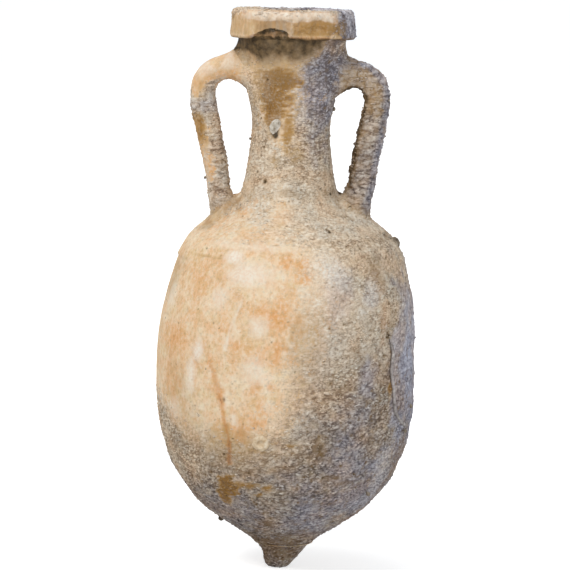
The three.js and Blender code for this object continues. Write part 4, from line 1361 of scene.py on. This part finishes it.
# %% [markdown]
# ## Shapes of the growths
# Each growth is a closed surface of two angles, or a profile carried along a path, with its own
# ribs: a worm builds its tube ring by ring, and a barnacle is a low cone of plates. It is set up
# on the wall's own level, upward and outward directions, on top of the crust where there is some.

# %% Growth shapes
LUMP_RISE = 0.15
BARNACLE_SIDE = np.array(
    [(1.0, -1.0), (1.0, 0.0), (0.86, 0.5), (0.66, 0.95), (0.5, 1.0), (0.4, 0.7), (0.3, 0.15)]
)


def wall_frame(turn, height):
    """Place on the wall's outside, and its level, upward and outward directions there."""
    t = math.radians(turn)
    run = np.interp(height, outline[:, 1], outline_run)
    radius = np.interp(run, outline_run, outline[:, 0])
    out_r, out_z = (np.interp(run, outline_run, column) for column in outward.T)
    across = np.array([math.sin(t), -math.cos(t), 0])
    out = across * out_r + np.array([0, 0, out_z])
    covered = ease(looked_up(turn, CRUST_EDGE) - height, -30, 30)
    rise = covered * crust_lumps(turn, height)
    level = np.array([math.cos(t), math.sin(t), 0])
    return across * radius + np.array([0, 0, height]) + out * rise, level, np.cross(out, level), out


def ball(rows, columns):
    """Points of a ball of two angles a and b, (sin a cos b, sin a sin b, -cos a), and its faces."""
    a, b = np.linspace(0, np.pi, rows + 2)[1:-1, None], turns(columns)
    points = np.stack([np.sin(a) * np.cos(b), np.sin(a) * np.sin(b), 0 * b - np.cos(a)], -1)
    return np.concatenate([points.reshape(-1, 3), [(0, 0, -1), (0, 0, 1)]]), capped(rows, columns)


def lump(name, turn, height, half, tip, node, seed, finish):
    """An oval stone: a ball stretched by half sizes, swollen by noise and tipped in the wall."""
    middle, level, up, out = wall_frame(turn, height)
    points, faces = ball(32, 56)
    swell = 1 + 0.22 * noise(points * 10, 9, seed) + 0.1 * noise(points * 10, 3.4, seed + 1)
    x, y, z = (points * swell[:, None] * half).T
    x, y = x * math.cos(tip) - y * math.sin(tip), x * math.sin(tip) + y * math.cos(tip)
    middle = middle + out * (half[2] * LUMP_RISE)
    points = middle + x[:, None] * level + y[:, None] * up + z[:, None] * out
    piece(name, points, faces, {}, finish, "shell", node)


def barnacle(name, turn, height, foot, tall, plates, node):
    """A low cone with its mouth out: profile of foot, rim and pit, with a ridge to each plate."""
    middle, level, up, out = wall_frame(turn, height)
    t = turns(60)
    radius = foot * BARNACLE_SIDE[:, :1] * (1 + 0.1 * np.abs(np.sin(plates * t / 2)) ** 0.6)
    rise = tall * BARNACLE_SIDE[:, 1:] + 0 * t
    across, upward = (part[..., None] for part in (radius * np.cos(t), radius * np.sin(t)))
    points = (middle + across * level + upward * up + rise[..., None] * out).reshape(-1, 3)
    points = np.concatenate([points, [middle - out * tall, middle + out * tall * 0.1]])
    piece(name, points, capped(len(BARNACLE_SIDE), 60), {}, SCAR, "shell", node)


def nubs(name, spots, seed, slot):
    """Small knobs of lime: balls in mm, swollen by noise, all in one piece."""
    knob, parts = ball(12, 20)
    place, size = spots[:, None, :3], spots[:, None, 3:]
    knobs = place + knob * size
    knobs = knobs + knob * size * 0.35 * noise(knobs, 3, seed)[..., None]
    step = len(knob) * np.arange(len(spots))[:, None, None]
    faces = [(part + step).reshape(-1, part.shape[1]) for part in parts]
    piece(name, knobs.reshape(-1, 3), faces, {}, CASING, slot)


def unit(ways):
    return ways / np.linalg.norm(ways, axis=-1, keepdims=True)


def worm_tube(name, route, radius, node):
    """A ring carried along a line on the wall, swollen at every growth ring."""
    frames = [wall_frame(*spot) for spot in route]
    line = even(spline([middle + out * radius * 0.25 for middle, level, up, out in frames], 400), 0.9)
    way = unit(np.gradient(line, axis=0))
    side = unit(np.cross(way, unit(line * (1, 1, 0))))
    out = np.cross(side, way)
    run = along(line)[:, None]
    swell = radius * (1 + 0.13 * np.sin(run * 2 * np.pi / 3.2) + 0.2 * noise(line, 12, 341)[:, None])
    swell = swell * np.clip(np.minimum(run, run[-1] - run) / 6, 0.35, 1) ** 0.5
    t = turns(18)[:, None]
    rings = line[:, None] + swell[..., None] * (np.cos(t) * out[:, None] + np.sin(t) * side[:, None])
    points = np.concatenate([rings.reshape(-1, 3), [line[0], line[-1]]])
    piece(name, points, capped(*rings.shape[:2]), {}, TUBE, "shell", node)


place = wall_frame(0, BELLY_JOINT)[0]
print("the belly's front lies", round(-place[1]), "mm out and", round(place[2]), "mm up")

# %% [markdown]
# ## The growths on the wall
# One shell sits on the neck and one in the shoulder's crust, a stone is caught low on the left,
# and knobs of lime sit here and there. The scar is where a barnacle stood on the belly, and the
# worm's tube runs down the right flank.

# %% Growths on the wall
NUBS = np.array([
    (-119.6, -2, 560, 2.3), (59.6, -4, 662, 3.2), (-57.0, -8, 617, 2.1), (139, -24, 482, 3.0),
    (131, -34, 489, 2.6), (150, -20, 462, 2.8), (136.5, -8, 676, 2.4),
    (178, -46, 246, 3.4), (170, -70, 214, 3.0), (118, -96, 128, 3.2), (96, 60, 500, 3.0),
])
WORM_PATH = [
    (52.5, 350), (54, 330), (53, 306), (55, 282), (56, 262), (57.5, 246), (63, 230), (71, 220),
]

lump("neck_shell_lime", -23, 639, (6.5, 10.5, 6.5), -0.5, "neck_shell", 311, SHELL)
lump("shoulder_shell_lime", 86, 474, (9, 7, 5), 0.3, "shoulder_shell", 321, CASING)
lump("lower_wall_stone", -72, 76, (5, 4, 4), 0.4, "lower_wall_pebble", 331, STONE)
nubs("lime_nubs", NUBS, 351, "shell")
barnacle("belly_barnacle_plates", -10.6, 211, 11, 3.2, 6, "belly_barnacle")
worm_tube("flank_worm_casing", WORM_PATH, 2.3, "flank_worm_tube")

# %% [markdown]
# ## Floor and light
# The picture has a plain white ground. The floor is pale and diffuse, so it throws a little
# light under the belly, and to the camera it adds enough glow to be white where no shadow falls.
# A soft lamp stands high on the left in front, a weaker, broader and bluer one on the right and
# a weak one above, because in the picture the right flank and the underside go darker and a
# little bluish.

# %% Studio
GLOW_NEAR, GLOW_FAR = 0.62, 1.0
SKY_ON_JAR, SKY_SEEN = 0.46, 1.08


def floor_finish():
    """Pale floor. For the camera it also glows, weakly beside the jar, where its shadow has to
    show, and fully from a metre away."""
    f = Finish("pale_floor", 0.95)
    f.shade("Base Color", (0.78, 0.78, 0.78, 1))
    f.shade("Emission Color", (1, 1, 1, 1))
    away = f.node("VectorMath", {0: f.place}, "Value", operation="LENGTH")
    seen, mirrored = (f.node("LightPath", {}, f"Is {ray} Ray") for ray in ("Camera", "Glossy"))
    glow = f.span(away, 0.3, 1.2, GLOW_NEAR, GLOW_FAR)
    f.shade("Emission Strength", seen.combine("MAXIMUM", mirrored) * glow)
    return f.material


bpy.ops.mesh.primitive_plane_add(size=30)
floor = bpy.context.object
floor.name = "floor"
floor.data.materials.append(floor_finish())

LAMPS = [
    ("key", (-2.1, -2.5, 2.9), 0.9, 69, (1.0, 0.985, 0.96)),
    ("fill", (2.9, -2.2, 1.2), 2.0, 36, (0.93, 0.96, 1.0)),
    ("top", (-0.4, 0.6, 3.0), 1.6, 20, (1.0, 1.0, 1.0)),
]
JAR_MIDDLE = Vector((0, 0, 0.42))
for name, place, size, power, colour in LAMPS:
    lamp = bpy.data.objects.new(name, bpy.data.lights.new(name, "AREA"))
    bpy.context.scene.collection.objects.link(lamp)
    lamp.data.energy = power
    lamp.data.size = size
    lamp.data.color = colour
    lamp.location = place
    lamp.rotation_euler = (JAR_MIDDLE - lamp.location).to_track_quat("-Z", "Y").to_euler()

world = bpy.data.worlds.new("studio")
bpy.context.scene.world = world
world.use_nodes = True
air = world.node_tree.nodes["Background"]
air.inputs["Color"].default_value = (0.93, 0.96, 1.0, 1)
path = world.node_tree.nodes.new("ShaderNodeLightPath")
level = world.node_tree.nodes.new("ShaderNodeMapRange")
level.inputs["To Min"].default_value = SKY_ON_JAR
level.inputs["To Max"].default_value = SKY_SEEN
world.node_tree.links.new(path.outputs["Is Camera Ray"], level.inputs["Value"])
world.node_tree.links.new(level.outputs["Result"], air.inputs["Strength"])
